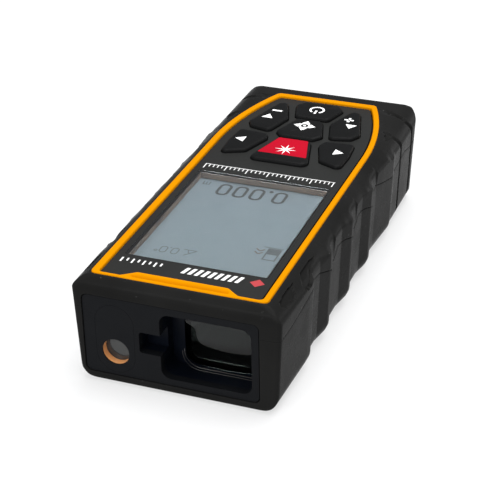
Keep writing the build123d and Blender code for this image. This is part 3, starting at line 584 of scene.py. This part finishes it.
def surface_reach(start, direction):
    """How far each ray goes before it leaves the body."""
    def outside(t):
        p = start + direction * t[..., None]
        return body_distance(p[..., 0], p[..., 1], p[..., 2]) > 0

    shape = start.shape[:-1]
    low, high = np.full(shape, SHORTEST), np.full(shape, LONGEST)
    found = np.zeros(shape, bool)
    for step in np.linspace(FIRST_STEP, LONGEST, SEARCH_STEPS):
        t = np.full(shape, step)
        out = outside(t)
        high = np.where(out & ~found, t, high)
        found |= out
        low = np.where(found, low, t)
    for _ in range(HALVINGS):
        middle = (low + high) / 2
        out = outside(middle)
        high, low = np.where(out, middle, high), np.where(out, low, middle)
    return (low + high) / 2


# height of the wavy parting between the two jackets, along the meter
PARTING_Y = [-63.9, -54.6, -52.3, -46.3, -36.8, -31.7, -22.9, -18.4, -15.4, -12.1, -7.0, -1.6, 1.6, 6.1,
             11.4, 16.8, 19.8, 24.8, 31.9, 36.3, 42.9, 50.9, 57.9, 62.6]
PARTING_Z = [20.4, 20.5, 20.4, 21.5, 20.6, 19.9, 22.2, 23.7, 22.8, 20.5, 22.2, 23.0, 20.7, 20.5,
             22.2, 23.0, 20.7, 20.5, 23.2, 24.0, 23.0, 21.8, 21.1, 21.1]
# rays start on a spine inside the body, this far to each side and at these heights
SIDE_X, UPPER_Z, LOWER_Z = 21.0, 25.0, 6.0
SPINE_REAR, SPINE_FRONT = -56.0, 57.0
NOSE_PARTING = np.interp(SPINE_FRONT, PARTING_Y, PARTING_Z)
STATION_GAP, KINK_GAP = 0.32, 0.12
SHOULDER_FOOT, JACKET = (28.0, 25.2), 1.35   # JACKET is the thickness of the rubber
# the V-shaped seam: distance from the parting, and depth
SEAM_STEPS = [(0.0, 0.55), (0.05, 0.16), (0.14, 0.03), (0.3, 0.0)]
SEAM_FADE_Y, SEAM_FADE = (42.0, 50.0), (1.0, 0.3)   # the seam closes up towards the nose
# the two halves: height and way of the flat face, rows on the wall and points across the flat
UPPER = {"fixed": UPPER_Z, "sign": 1, "wall": 9, "flat": 29}
LOWER = {"fixed": LOWER_Z, "sign": -1, "wall": 15, "flat": 25}
REAR_FAN, FRONT_FAN, LEAST_WAY = 38, 34, 0.03


def along_runs(points, steps):
    """Points spread evenly over straight runs, each with its own number of steps."""
    spread = [points[0]]
    for (x0, z0), (x1, z1), count in zip(points, points[1:], steps):
        spread += [(x0 + (x1 - x0) * k / count, z0 + (z1 - z0) * k / count) for k in range(1, count + 1)]
    return spread


def corner_ways(half):
    """Ray directions (x, z) that turn from the wall, round the corner, to the flat face."""
    if half is UPPER:
        targets = along_runs([SHOULDER_FOOT, KNEE, CROWN, (SIDE_X, CROWN[1])], (14, 14, 5))
    else:
        middle = BASE_HALF - BASE_ROUND
        targets = [(middle + BASE_ROUND * math.cos(a), BASE_ROUND - BASE_ROUND * math.sin(a))
                   for a in np.linspace(0, math.pi / 2, 13)]
    ways = [(1.0, 0.0)]
    for x, z in targets:
        length = math.hypot(x - SIDE_X, z - half["fixed"])
        way = ((x - SIDE_X) / length, (z - half["fixed"]) / length)
        if way[0] > LEAST_WAY and abs(way[1]) > LEAST_WAY:
            ways.append(way)
    return ways + [(0.0, float(half["sign"]))]


def wall_rows(half, parting):
    """Heights and seam depths of the rows on the wall, from the seam to the corner."""
    heights = [parting + half["sign"] * off for off, _ in SEAM_STEPS]
    below, count = heights[-1], half["wall"]
    heights += [below + (half["fixed"] - below) * k / count for k in range(1, count)]
    return heights, [depth for _, depth in SEAM_STEPS] + [0.0] * (count - 1)


def section_rays(half, ways, parting):
    """Anchors (x, z), directions (x, z) and seam depths of all rows at one station: up one
    wall, round the corner, over the flat face and down the far side."""
    heights, depths = wall_rows(half, parting)
    anchors = [(SIDE_X, z) for z in heights] + [(SIDE_X, half["fixed"])] * len(ways)
    ways = [(1.0, 0.0)] * len(heights) + ways
    depths = depths + [0.0] * (len(ways) - len(depths))
    flat = np.linspace(SIDE_X, -SIDE_X, half["flat"])[1:-1]
    flat_way = (0.0, float(half["sign"]))
    anchors = anchors + [(x, half["fixed"]) for x in flat] + [(-x, z) for x, z in anchors[::-1]]
    ways = ways + [flat_way] * len(flat) + [(-x, z) for x, z in ways[::-1]]
    return np.array(anchors), np.array(ways), np.array(depths + [0.0] * len(flat) + depths[::-1])


def belt_rays(half, ways, stations, partings):
    """Rays of the belt round the body: a fan at the rear end, the stations, a fan at the nose."""
    rear = [(stations[0], partings[0], a) for a in np.linspace(-math.pi / 2, 0, REAR_FAN)[:-1]]
    straight = [(y, parting, 0.0) for y, parting in zip(stations, partings)]
    nose = [(stations[-1], NOSE_PARTING, a) for a in np.linspace(0, math.pi / 2, FRONT_FAN)[1:]]
    starts, directions, depths = [], [], []
    for y, parting, angle in rear + straight + nose:
        anchor, way, depth = section_rays(half, ways, parting)
        level, turn = np.full(len(anchor), y), math.cos(angle)
        starts.append(np.column_stack([anchor[:, 0], level, anchor[:, 1]]))
        lift = np.full(len(anchor), math.sin(angle))
        directions.append(np.column_stack([way[:, 0] * turn, lift, way[:, 1] * turn]))
        depths.append(depth * np.interp(y, SEAM_FADE_Y, SEAM_FADE))
    return np.array(starts), np.array(directions), np.array(depths)


def end_rays(half, y, parting, direction):
    """Rays of a flat end: a grid between the wall rows, by height, and the flat rows, by x."""
    heights, depths = wall_rows(half, parting)
    across = np.linspace(SIDE_X, -SIDE_X, half["flat"])
    starts = np.array([[(x, y, z) for x in across] for z in heights])
    directions = np.zeros_like(starts)
    directions[..., 1] = direction
    depth = np.repeat(np.array(depths)[:, None], len(across), 1)
    return starts, directions, depth * np.interp(y, SEAM_FADE_Y, SEAM_FADE)


def grid_faces(grid):
    """Quads of a grid of point numbers."""
    return np.stack([grid[:-1, :-1], grid[:-1, 1:], grid[1:, 1:], grid[1:, :-1]], -1).reshape(-1, 4)


def jacket_shell(name, half):
    """One half of the jacket as a closed shell, cast outwards from a spine inside it."""
    kinks = sorted(set(RISE_Y[1:-1] + EDGE_Y))
    even = np.arange(SPINE_REAR, SPINE_FRONT + 0.01, STATION_GAP)
    stations = sorted([y for y in even if min(abs(y - kink) for kink in kinks) > KINK_GAP] + kinks)
    partings = np.interp(stations, PARTING_Y, PARTING_Z)
    ways = corner_ways(half)
    rays = [belt_rays(half, ways, stations, partings), end_rays(half, stations[0], partings[0], -1.0),
            end_rays(half, stations[-1], NOSE_PARTING, 1.0)]
    outer, inner, grids, total = [], [], [], 0
    for start, direction, depth in rays:
        reach = surface_reach(start, direction)
        outer.append((start + direction * (reach - depth)[..., None]).reshape(-1, 3))
        inner.append((start + direction * (reach - JACKET)[..., None]).reshape(-1, 3))
        grids.append(np.arange(total, total + depth.size).reshape(depth.shape))
        total += depth.size
    belt, rear, nose = grids
    # each end's side columns and corner points are welded to the belt's edge, and its last row
    # is joined to the belt's flat rows
    weld = np.arange(total)
    faces = [grid_faces(grid) for grid in grids]
    walls, columns = len(rear), belt.shape[1]
    for end, edge in ((rear, belt[0]), (nose, belt[-1])):
        weld[end[:, 0]] = edge[:walls]
        weld[end[:, -1]] = edge[::-1][:walls]
        right, left = edge[walls], edge[columns - 1 - walls]
        weld[edge[walls:walls + len(ways)]] = right
        weld[edge[::-1][walls:walls + len(ways)]] = left
        flat = edge[walls + len(ways):columns - walls - len(ways)]
        faces.append(grid_faces(np.array([end[-1], [right, *flat, left]])))
    faces = weld[np.vstack(faces)]
    # the rim joins the outside to the inside along the seam
    loop = weld[np.concatenate([belt[:, 0], nose[0, 1:-1], belt[::-1, -1], rear[0, ::-1][1:-1]])]
    following = np.roll(loop, -1)
    rim = np.stack([loop, following, following + total, loop + total], -1)
    quads = [tuple(dict.fromkeys(face)) for face in np.vstack([faces, faces[:, ::-1] + total, rim]).tolist()]
    return mesh_object(name, np.vstack(outer + inner), [face for face in quads if len(face) > 2], RUBBER)


# ---------------- trim ring
RING_LOW, RING_HIGH = (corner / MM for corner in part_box("trim_ring"))
# the long sides are straight up to this place and then bend inwards on a wide arc
RING_ARC_Y, RING_ARC_R = -21.6, 88.5
ARC_STEPS, SIDE_STEPS, FRONT_STEPS, REAR_STEPS = 26, 20, 60, 8
CORNER_REACH = 1.3
# the tab in the front edge: half its width at the foot, and the length of its slanted ends
TAB_FOOT, TAB_SLOPE, TAB_DEPTH = 15.0, 3.3, 2.9
# the sunk groove in the tab: half its length, and how it fades out; the front edge of the
# ring is all that lies beyond FRONT_Y
TAB_GROOVE, TAB_GROOVE_FADE, FRONT_Y = 12.9, 1.8, 59.0
# the inner edge sits further to -x on both sides, which makes the -x side narrower
INNER_SHIFT_X, INNER_SHIFT = (-21.0, 0.0, 21.0), (0.28, 0.0, 0.08)
# section of the ring: share of the way across, height, and height in the tab
TRIM_PROFILE = [
    (0.0, 27.9, 27.9), (0.0, 29.68, 29.68), (0.035, 29.85, 29.85), (0.11, 29.96, 29.95),
    (0.2, 30.0, 29.98), (0.26, 30.0, 29.85), (0.32, 30.0, 29.35), (0.4, 30.0, 28.9),
    (0.48, 30.0, 28.95), (0.56, 30.0, 29.45), (0.64, 30.0, 29.88), (0.74, 30.0, 29.99),
    (0.82, 29.97, 29.98), (0.89, 29.9, 29.92), (0.95, 29.75, 29.78), (0.985, 29.55, 29.55),
    (1.0, 29.25, 29.25), (1.0, 27.9, 27.9),
]


def ring_path(side, front, rear, corner, tab=0.0):
    """The ring's outline moved in by its own amount on each edge, always with the same
    number of points, so that outer and inner outlines match. Starts at the front middle."""
    half, front_y, rear_y = RING_HIGH.x - side, RING_HIGH.y - front, RING_LOW.y + rear
    front_edge = [(x, front_y - tab * min(1.0, max(0.0, (TAB_FOOT - x) / TAB_SLOPE)))
                  for x in np.linspace(0, half - corner * CORNER_REACH, FRONT_STEPS)]
    length = RING_ARC_Y - front_y
    straight = [(half, front_y + length * k / SIDE_STEPS) for k in range(SIDE_STEPS + 1)]
    radius = RING_ARC_R - side
    turn = math.asin((RING_ARC_Y - rear_y) / radius)
    angles = [turn * k / ARC_STEPS for k in range(1, ARC_STEPS + 1)]
    arc = [(half - radius + radius * math.cos(a), RING_ARC_Y - radius * math.sin(a)) for a in angles]
    rear_edge = [(x, rear_y) for x in np.linspace(arc[-1][0] - corner * CORNER_REACH, 0, REAR_STEPS)]
    chain = front_edge + straight + arc + rear_edge
    radii = [0] * len(chain)
    radii[len(front_edge)] = radii[-len(rear_edge) - 1] = corner
    return rounded_outline(chain + mirrored(chain)[1:-1], radii + radii[::-1][1:-1], 6)


def trim_ring():
    """Orange trim with a soft top edge; its front tab has a long sunk groove."""
    outer = np.array(ring_path(0.0, 0.4, 0.0, 1.6))
    inner = np.array(ring_path(1.92, 1.45, 2.15, 1.2, TAB_DEPTH))
    inner[:, 0] -= np.interp(inner[:, 0], INNER_SHIFT_X, INNER_SHIFT)
    points = []
    for outside, inside in zip(outer, inner):
        groove = 0.0
        if outside[1] > FRONT_Y:
            groove = float(np.clip((TAB_GROOVE - abs(inside[0])) / TAB_GROOVE_FADE, 0, 1))
        groove = groove * groove * (3 - 2 * groove)
        for share, height, tab_height in TRIM_PROFILE:
            x, y = outside + (inside - outside) * share
            points.append((x, y, height + (tab_height - height) * groove))
    count, last = len(TRIM_PROFILE), (len(outer) - 1) * len(TRIM_PROFILE)
    faces = skin(len(outer), count)
    faces += [(last + i, last + (i + 1) % count, (i + 1) % count, i) for i in range(count)]
    obj = mesh_object("orange_trim", points, faces, ORANGE, sharp=55)
    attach(obj, "housing")
    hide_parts("trim_ring")


# openings in the jackets: nose plate, battery cover, tripod insert and screw wells
NOSE_OPENING, NOSE_OPENING_ROUND, NOSE_CUT = rectangle(-21.85, 2.6, 24.6, 25.05), 1.7, (59.4, 66.0)
COVER_OPENING, COVER_DEPTH = rectangle(-15.15, -70.0, 15.15, -6.35), 1.95
INSERT_Y, INSERT_RADIUS, INSERT_DEPTH = 1.5, 4.75, 3.0
WELL_PLACES = [(21.4, 28.0), (-21.4, 28.0), (21.4, -48.0), (-21.4, -48.0)]
WELL_RADIUS, WELL_DEPTH = 1.75, 8.0
BELOW, RING_SEAT, ABOVE = -2.0, 26.0, 33.0


def jackets():
    """Both halves of the rubber jacket with their openings; the one for the trim ring is 0.07
    wider than the ring all round."""
    ring = ring_path(-0.07, 0.33, -0.07, 1.66)
    nose = rounded_outline(NOSE_OPENING, NOSE_OPENING_ROUND)
    insert = circle_outline(0, INSERT_Y, INSERT_RADIUS)
    upper = jacket_shell("upper_rubber", UPPER)
    cut(upper, [prism("cut_ring", ring, RING_SEAT, ABOVE), prism("cut_nose_a", nose, *NOSE_CUT, "y")])
    lower = jacket_shell("lower_rubber", LOWER)
    cutters = [prism("cut_nose_b", nose, *NOSE_CUT, "y"),
               prism("cut_cover", COVER_OPENING, BELOW, COVER_DEPTH),
               prism("cut_insert", insert, BELOW, INSERT_DEPTH)]
    cutters += [prism(f"cut_well_{k}", circle_outline(*place, WELL_RADIUS), BELOW, WELL_DEPTH)
                for k, place in enumerate(WELL_PLACES)]
    cut(lower, cutters)
    for obj, node in ((upper, "upper_jacket"), (lower, "lower_jacket")):
        obj.data.polygons.foreach_set("use_smooth", [True] * len(obj.data.polygons))
        sharpen(obj.data, 38)
        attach(obj, "housing")
        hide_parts(node)


# ---------------- keys
READ_SHAPE = [(9.0, -11.7), (5.0, -27.1), (-5.0, -27.1), (-9.0, -11.7)]
MENU_SHAPE = [(17.7, -12.8), (10.9, -15.8), (7.7, -25.3), (8.6, -28.4), (17.4, -29.2), (18.1, -21.0)]
PLUS_SHAPE = [(9.0, -30.5), (15.4, -32.0), (17.0, -35.3), (12.9, -49.8), (10.2, -51.3), (6.4, -40.2)]
REFERENCE_SHAPE = [(5.0, -28.2), (7.1, -30.9), (4.0, -41.0), (-4.0, -41.0), (-7.1, -30.9), (-5.0, -28.2)]
CLEAR_SHAPE = [(5.1, -42.1), (7.4, -50.2), (5.4, -53.2), (-5.4, -53.2), (-7.4, -50.2), (-5.1, -42.1)]
RED_SHAPE = [(7.25, -15.55), (4.35, -26.2), (-4.35, -26.2), (-7.25, -15.55)]
# outline and corner radius of each key
KEYS = {
    "key_read": (READ_SHAPE, 2.0),
    "key_menu": (MENU_SHAPE, 1.5),
    "key_function": (mirrored(MENU_SHAPE), 1.5),
    "key_plus": (mirrored(PLUS_SHAPE), 1.5),
    "key_minus": (PLUS_SHAPE, 1.5),
    "key_reference": (REFERENCE_SHAPE, 1.5),
    "key_clear": (CLEAR_SHAPE, 1.5),
}
KEY_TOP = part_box("key_read")[1].z / MM - 0.04
# section of a key's edge: distance in from the outline, and height below the top
CAP_EDGE = [(0.0, 3.71), (0.0, 1.16), (0.03, 0.84), (0.12, 0.54), (0.3, 0.32), (0.55, 0.18), (0.85, 0.1),
            (1.15, 0.05), (1.4, 0.025)]
# the crowned top: size as a share of the last outline, and height below the top
CAP_CROWN, CAP_PEAK = [(0.75, 0.013), (0.5, 0.005), (0.25, 0.0)], 0.002
LEAST_ROUND = 0.1
RED_EDGE, RED_ROUND = [(0.0, -0.36), (0.0, -0.06), (0.06, -0.005), (0.2, 0.02)], 0.45


def inset(shape, amount):
    """Moves every side of a convex outline inwards."""
    area = sum(a[0] * b[1] - b[0] * a[1] for a, b in zip(shape, shape[1:] + shape[:1]))
    turn = 1 if area > 0 else -1
    lines = []
    for a, b in zip(shape, shape[1:] + shape[:1]):
        a, b = np.array(a, float), np.array(b, float)
        d = (b - a) / np.linalg.norm(b - a)
        n = np.array([-d[1], d[0]]) * turn
        lines.append((a + n * amount, d))
    points = []
    for (p, d), (q, e) in zip([lines[-1]] + lines[:-1], lines):
        t = np.linalg.solve(np.array([d, -e]).T, q - p)[0]
        points.append(tuple(p + d * t))
    return points


def key_cap(name, shape, radius, node, body):
    """A soft key: steep sides, a generous rim and a slightly crowned top."""
    rings = []
    core = inset(shape, radius)
    for inwards, below in CAP_EDGE:
        left = max(radius - inwards, LEAST_ROUND)
        rings.append((rounded_outline(inset(core, -left), left), KEY_TOP - below))
    centre = np.mean(np.array(shape), 0)
    base = np.array(rings[-1][0])
    for share, below in CAP_CROWN:
        rings.append((centre + (base - centre) * share, KEY_TOP - below))
    count = len(base)
    points = [(x, y, z) for ring, z in rings for x, y in ring]
    points.append((*centre, KEY_TOP + CAP_PEAK))
    top = (len(rings) - 1) * count
    faces = [tuple(range(count))] + skin(len(rings), count)
    faces += [(top + i, top + (i + 1) % count, len(points) - 1) for i in range(count)]
    obj = mesh_object(name, points, faces, KEY, sharp=70)
    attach(obj, body)
    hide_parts(node)


def red_face():
    """The red moulding on the measuring key, with a soft edge."""
    rings = [(rounded_outline(inset(RED_SHAPE, inwards), RED_ROUND, 6), KEY_TOP + above)
             for inwards, above in RED_EDGE]
    count = len(rings[0][0])
    points = [(x, y, z) for ring, z in rings for x, y in ring]
    faces = skin(len(rings), count) + end_faces(len(rings), count)
    obj = mesh_object("red_face", points, faces, RED, sharp=40)
    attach(obj, "key_read_body")
    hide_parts("key_read_inlay")


# ---------------- strokes and signs
def bar(x0, y0, x1, y1, width):
    """A straight stroke."""
    dx, dy = x1 - x0, y1 - y0
    length = math.hypot(dx, dy)
    nx, ny = -dy / length * width / 2, dx / length * width / 2
    return [(x0 + nx, y0 + ny), (x1 + nx, y1 + ny), (x1 - nx, y1 - ny), (x0 - nx, y0 - ny)]


def arc_stroke(x, y, radius, start, end, width, steps=24):
    """A curved stroke between two angles in degrees."""
    angles = [math.radians(start + (end - start) * k / steps) for k in range(steps + 1)]
    outer, inner = radius + width / 2, radius - width / 2
    return ([(x + outer * math.cos(a), y + outer * math.sin(a)) for a in angles]
            + [(x + inner * math.cos(a), y + inner * math.sin(a)) for a in reversed(angles)])


def hoop(x, y, half_w, half_h, stroke, radius):
    """A rounded ring, as an outer and an inner outline."""
    outer = rectangle(x - half_w, y - half_h, x + half_w, y + half_h)
    inner = inset(outer, stroke)
    return rounded_outline(outer, radius), rounded_outline(inner, max(radius - stroke, 0.05))


def digit_zero(x, y, w, h, stroke):
    """The figure 0 with its lower left corner at (x, y)."""
    return hoop(x + w / 2, y + h / 2, w / 2, h / 2, stroke, w * 0.46)


def pointer(x, y, angle, root, half_width, reach):
    """A triangle that points away from (x, y), from its root out to its reach."""
    c, s = math.cos(angle), math.sin(angle)
    return [(x + root * c - half_width * s, y + root * s + half_width * c), (x + reach * c, y + reach * s),
            (x + root * c + half_width * s, y + root * s - half_width * c)]


ICON_Z, STAR_Z = KEY_TOP + 0.025, KEY_TOP + 0.035
STAR_Y, TARGET_Y, POWER_Y = -19.0, -35.9, -47.6


def key_icons():
    """Printed signs: a star, four arrows, plus and minus, a target and a power sign."""
    star = [pointer(0, STAR_Y, math.radians(45 * k), 0.75, 0.28, 2.9 if k % 2 else 3.2) for k in range(8)]
    star.append(circle_outline(0, STAR_Y, 0.85, 20))
    left = [(-16.2, -21.8), (-13.4, -20.1), (-13.4, -23.5)]
    right = [(16.2, -21.9), (13.4, -23.6), (13.4, -20.2)]
    up = [(-12.7, -38.0), (-14.4, -40.7), (-11.0, -40.7)]
    plus = [bar(-12.5, -43.7, -9.7, -43.7, 0.75), bar(-11.1, -45.1, -11.1, -42.3, 0.75)]
    down = [(12.4, -40.7), (14.1, -38.0), (10.7, -38.0)]
    minus = bar(9.6, -43.6, 12.6, -43.6, 0.8)
    target = [hoop(0, TARGET_Y, 1.75, 1.75, 0.62, 1.74)]
    target += [pointer(0, TARGET_Y, math.radians(90 * k), 1.6, 1.25, 3.3) for k in range(4)]
    target.append(circle_outline(0, TARGET_Y, 0.45, 16))
    power = [arc_stroke(0, POWER_Y, 2.0, 122, 418, 0.6), bar(0, POWER_Y + 0.4, 0, POWER_Y + 2.7, 0.6)]
    signs = [("measure", star, "read"), ("left", [left], "function"), ("right", [right], "menu"),
             ("up", [up] + plus, "plus"), ("down", [down, minus], "minus"),
             ("reference", target, "reference"), ("power", power, "clear")]
    for sign, outlines, key in signs:
        z = STAR_Z if sign == "measure" else ICON_Z
        plate("icon_" + sign, outlines, z, KEY_WHITE, f"key_{key}_body")


# ---------------- print and display
PRINT_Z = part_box("front_panel")[1].z / MM + 0.008
SEGMENT_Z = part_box("lcd_glass")[1].z / MM + 0.015
SCALE_Y, SCALE_HALF, TICK_GAP = -5.75, 18.9, 1.24
BARS_X, BARS_Y, BAR_GAP, BAR_WIDTH, BAR_LEAN = -13.6, (49.7, 52.6), 1.75, 0.95, 0.8
TICKS_X, TICKS_Y, SMALL_TICK_GAP = 8.0, 49.9, 1.5
DIGIT, DIGIT_STROKE, DIGIT_Y = (3.7, 6.6), 0.78, 0.7
SMALL_DIGIT, SMALL_STROKE, TILT_Y = (2.0, 3.2), 0.3, 38.1


def panel_print():
    """A measuring scale, a row of bars, a diamond and a row of ticks."""
    ticks = [bar(-SCALE_HALF, SCALE_Y, SCALE_HALF, SCALE_Y, 0.22)]
    for k in range(-15, 16):
        foot = SCALE_Y + 0.05
        ticks.append(bar(TICK_GAP * k, foot, TICK_GAP * k, foot + (1.5 if k % 5 else 2.6), 0.26))
    plate("scale_print", ticks, PRINT_Z, WHITE)
    low, high = BARS_Y
    bars = []
    for k in range(9):
        x = BARS_X + BAR_GAP * k
        bars.append([(x, low), (x + BAR_WIDTH, low), (x + BAR_WIDTH + BAR_LEAN, high), (x + BAR_LEAN, high)])
    plate("front_bars", bars, PRINT_Z, WHITE)
    diamond = [(-17.3, 49.4), (-15.4, 51.2), (-17.3, 53.0), (-19.2, 51.2)]
    plate("front_mark", [diamond], PRINT_Z, MARK_RED)
    small = []
    for k in range(8):
        x = TICKS_X + SMALL_TICK_GAP * k
        small.append(bar(x, TICKS_Y, x, TICKS_Y + (2.0 if k % 2 else 1.3), 0.45))
    plate("front_ticks", small, PRINT_Z, WHITE)


def lcd_content():
    """Readout of a meter at rest: distance, tilt and the reference edge in use."""
    main = [digit_zero(x, DIGIT_Y, *DIGIT, DIGIT_STROKE) for x in (-8.2, -1.7, 3.05, 7.8)]
    main.append(circle_outline(-3.1, 1.3, 0.6, 12))
    plate("lcd_distance", main, SEGMENT_Z, SEGMENT)
    unit = [bar(14.7 + 0.9 * k, 0.8, 14.7 + 0.9 * k, 2.5, 0.24) for k in range(3)]
    unit.append(bar(14.6, 2.5, 16.6, 2.5, 0.24))
    plate("lcd_unit", unit, SEGMENT_Z, SEGMENT)
    tilt = [bar(3.7, TILT_Y, 7.1, TILT_Y, 0.3), bar(3.7, TILT_Y, 6.3, TILT_Y + 2.9, 0.3)]
    tilt.append(arc_stroke(3.7, TILT_Y, 2.2, 0, 48, 0.28, 8))
    tilt += [digit_zero(x, TILT_Y, *SMALL_DIGIT, SMALL_STROKE) for x in (8.1, 11.2)]
    tilt += [circle_outline(10.65, TILT_Y + 0.2, 0.22, 8), hoop(14.0, TILT_Y + 2.6, 0.5, 0.5, 0.26, 0.49)]
    plate("lcd_tilt", tilt, SEGMENT_Z, SEGMENT_PALE)
    device = [(rectangle(-16.5, 30.7, -12.9, 36.7), rectangle(-16.1, 31.1, -13.3, 36.3)),
              rectangle(-16.2, 31.0, -13.2, 33.7), bar(-16.8, 30.3, -11.5, 30.3, 0.25)]
    plate("lcd_reference", device, SEGMENT_Z, SEGMENT_PALE)
    chevrons = []
    for y in (31.7, 33.2):
        chevrons += [bar(-12.2, y, -11.1, y + 1.0, 0.4), bar(-11.1, y + 1.0, -10.0, y, 0.4)]
    plate("lcd_chevrons", chevrons, SEGMENT_Z, SEGMENT_BROWN)


# ---------------- nose details
LENS_SIDE, LENS_FLOOR, LENS_CORNER, LENS_FAR_SIDE = 0.45, 4.9, 4.4, -19.3
BEAD_SIDES, BEAD_SLIMNESS = 8, 0.7


def bead(name, inset_by, y, radius):
    """A thin pale bead that follows the lower edge of the receiver lens; its light colour is a painted glint.
    """
    side, floor, corner = LENS_SIDE - inset_by, LENS_FLOOR + inset_by, LENS_CORNER
    path = [(side, floor + corner + 0.4), (side, floor + corner)]
    path += [(side - corner + corner * math.cos(a), floor + corner - corner * math.sin(a))
             for a in np.linspace(0.15, math.pi / 2 - 0.15, 7)]
    path += [(side - corner, floor), (LENS_FAR_SIDE, floor)]
    points = []
    for x, z in path:
        for k in range(BEAD_SIDES):
            angle = 2 * math.pi * k / BEAD_SIDES
            out = radius * math.cos(angle) * BEAD_SLIMNESS
            points.append((x + out, y + radius * math.sin(angle), z + out))
    faces = skin(len(path), BEAD_SIDES) + end_faces(len(path), BEAD_SIDES)
    obj = mesh_object(name, points, faces, GLINT_BEAD)
    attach(obj, "housing")


# ---------------- set
# the lights, the camera and the floor's drop are in metres
FLOOR_HALF, FLOOR_DROP = 3000.0, 0.00002
FLOOR_GLOW, SKY_TINT, SKY_STRENGTH = 0.62, (0.93, 0.96, 1.0), 0.42
CAMERA_LENS, CAMERA_SENSOR, CAMERA_ROLL = 107.16, 36.0, math.radians(-0.978)
CAMERA_PLACE, CAMERA_AIM = Vector((-0.125177, 0.338624, 0.211102)), Vector((-0.000856, 0.012590, 0.015))


def softbox(name, place, aim, size, power):
    """A rectangular light that faces its aim; power is in watts."""
    data = bpy.data.lights.new(name, "AREA")
    data.shape = "RECTANGLE"
    data.size, data.size_y = size
    data.energy = power
    light = bpy.data.objects.new(name, data)
    light.location = place
    light.rotation_euler = (Vector(aim) - Vector(place)).to_track_quat("-Z", "Y").to_euler()
    bpy.context.scene.collection.objects.link(light)


def studio():
    """A floor that glows a little, a pale sky, three soft lights and the camera."""
    white = moulded("floor_white", (0.25, 0.25, 0.25), 0.7, 0.1, 900, 0.01, 0.01)
    shader = white.node_tree.nodes["Principled BSDF"]
    shader.inputs["Emission Color"].default_value = (1.0, 1.0, 1.0, 1)
    shader.inputs["Emission Strength"].default_value = FLOOR_GLOW
    corners = [(x, y, 0) for x, y in rectangle(-FLOOR_HALF, -FLOOR_HALF, FLOOR_HALF, FLOOR_HALF)]
    floor = mesh_object("floor", corners, [(0, 1, 2, 3)], white, closed=False)
    floor.location.z = -FLOOR_DROP
    world = bpy.data.worlds.new("studio")
    bpy.context.scene.world = world
    world.use_nodes = True
    sky = world.node_tree.nodes["Background"]
    sky.inputs["Color"].default_value = (*SKY_TINT, 1)
    sky.inputs["Strength"].default_value = SKY_STRENGTH
    softbox("overhead", (-0.12, -0.18, 0.95), (0, 0, 0), (0.9, 0.9), 16.0)
    softbox("front", (0.15, 0.90, 0.55), (0, 0, 0.01), (0.6, 0.4), 6.5)
    softbox("rear_side", (-0.60, -1.00, 0.14), (0, 0, 0.01), (0.7, 0.22), 1.6)
    camera = bpy.data.objects.new("camera", bpy.data.cameras.new("camera"))
    camera.data.lens, camera.data.sensor_width = CAMERA_LENS, CAMERA_SENSOR
    camera.data.clip_start, camera.data.clip_end = 0.01, 20
    turn = (CAMERA_AIM - CAMERA_PLACE).to_track_quat("-Z", "Y").to_matrix().to_4x4()
    roll = Matrix.Rotation(CAMERA_ROLL, 4, "Z")
    camera.matrix_world = Matrix.Translation(CAMERA_PLACE) @ turn @ roll
    bpy.context.scene.collection.objects.link(camera)
    bpy.context.scene.camera = camera
    bpy.context.scene.view_settings.view_transform = "Standard"


jackets()
trim_ring()
for node_name, (shape, radius) in KEYS.items():
    key_cap(node_name.replace("key_", "cap_"), shape, radius, node_name, node_name + "_body")
red_face()
key_icons()
panel_print()
lcd_content()
# the two beads carry painted glints along the lens's lower edge
bead("lens_glint_bead_rear", 0.0, 55.75, 0.1)
bead("lens_glint_bead_front", -0.18, 56.5, 0.08)
studio()
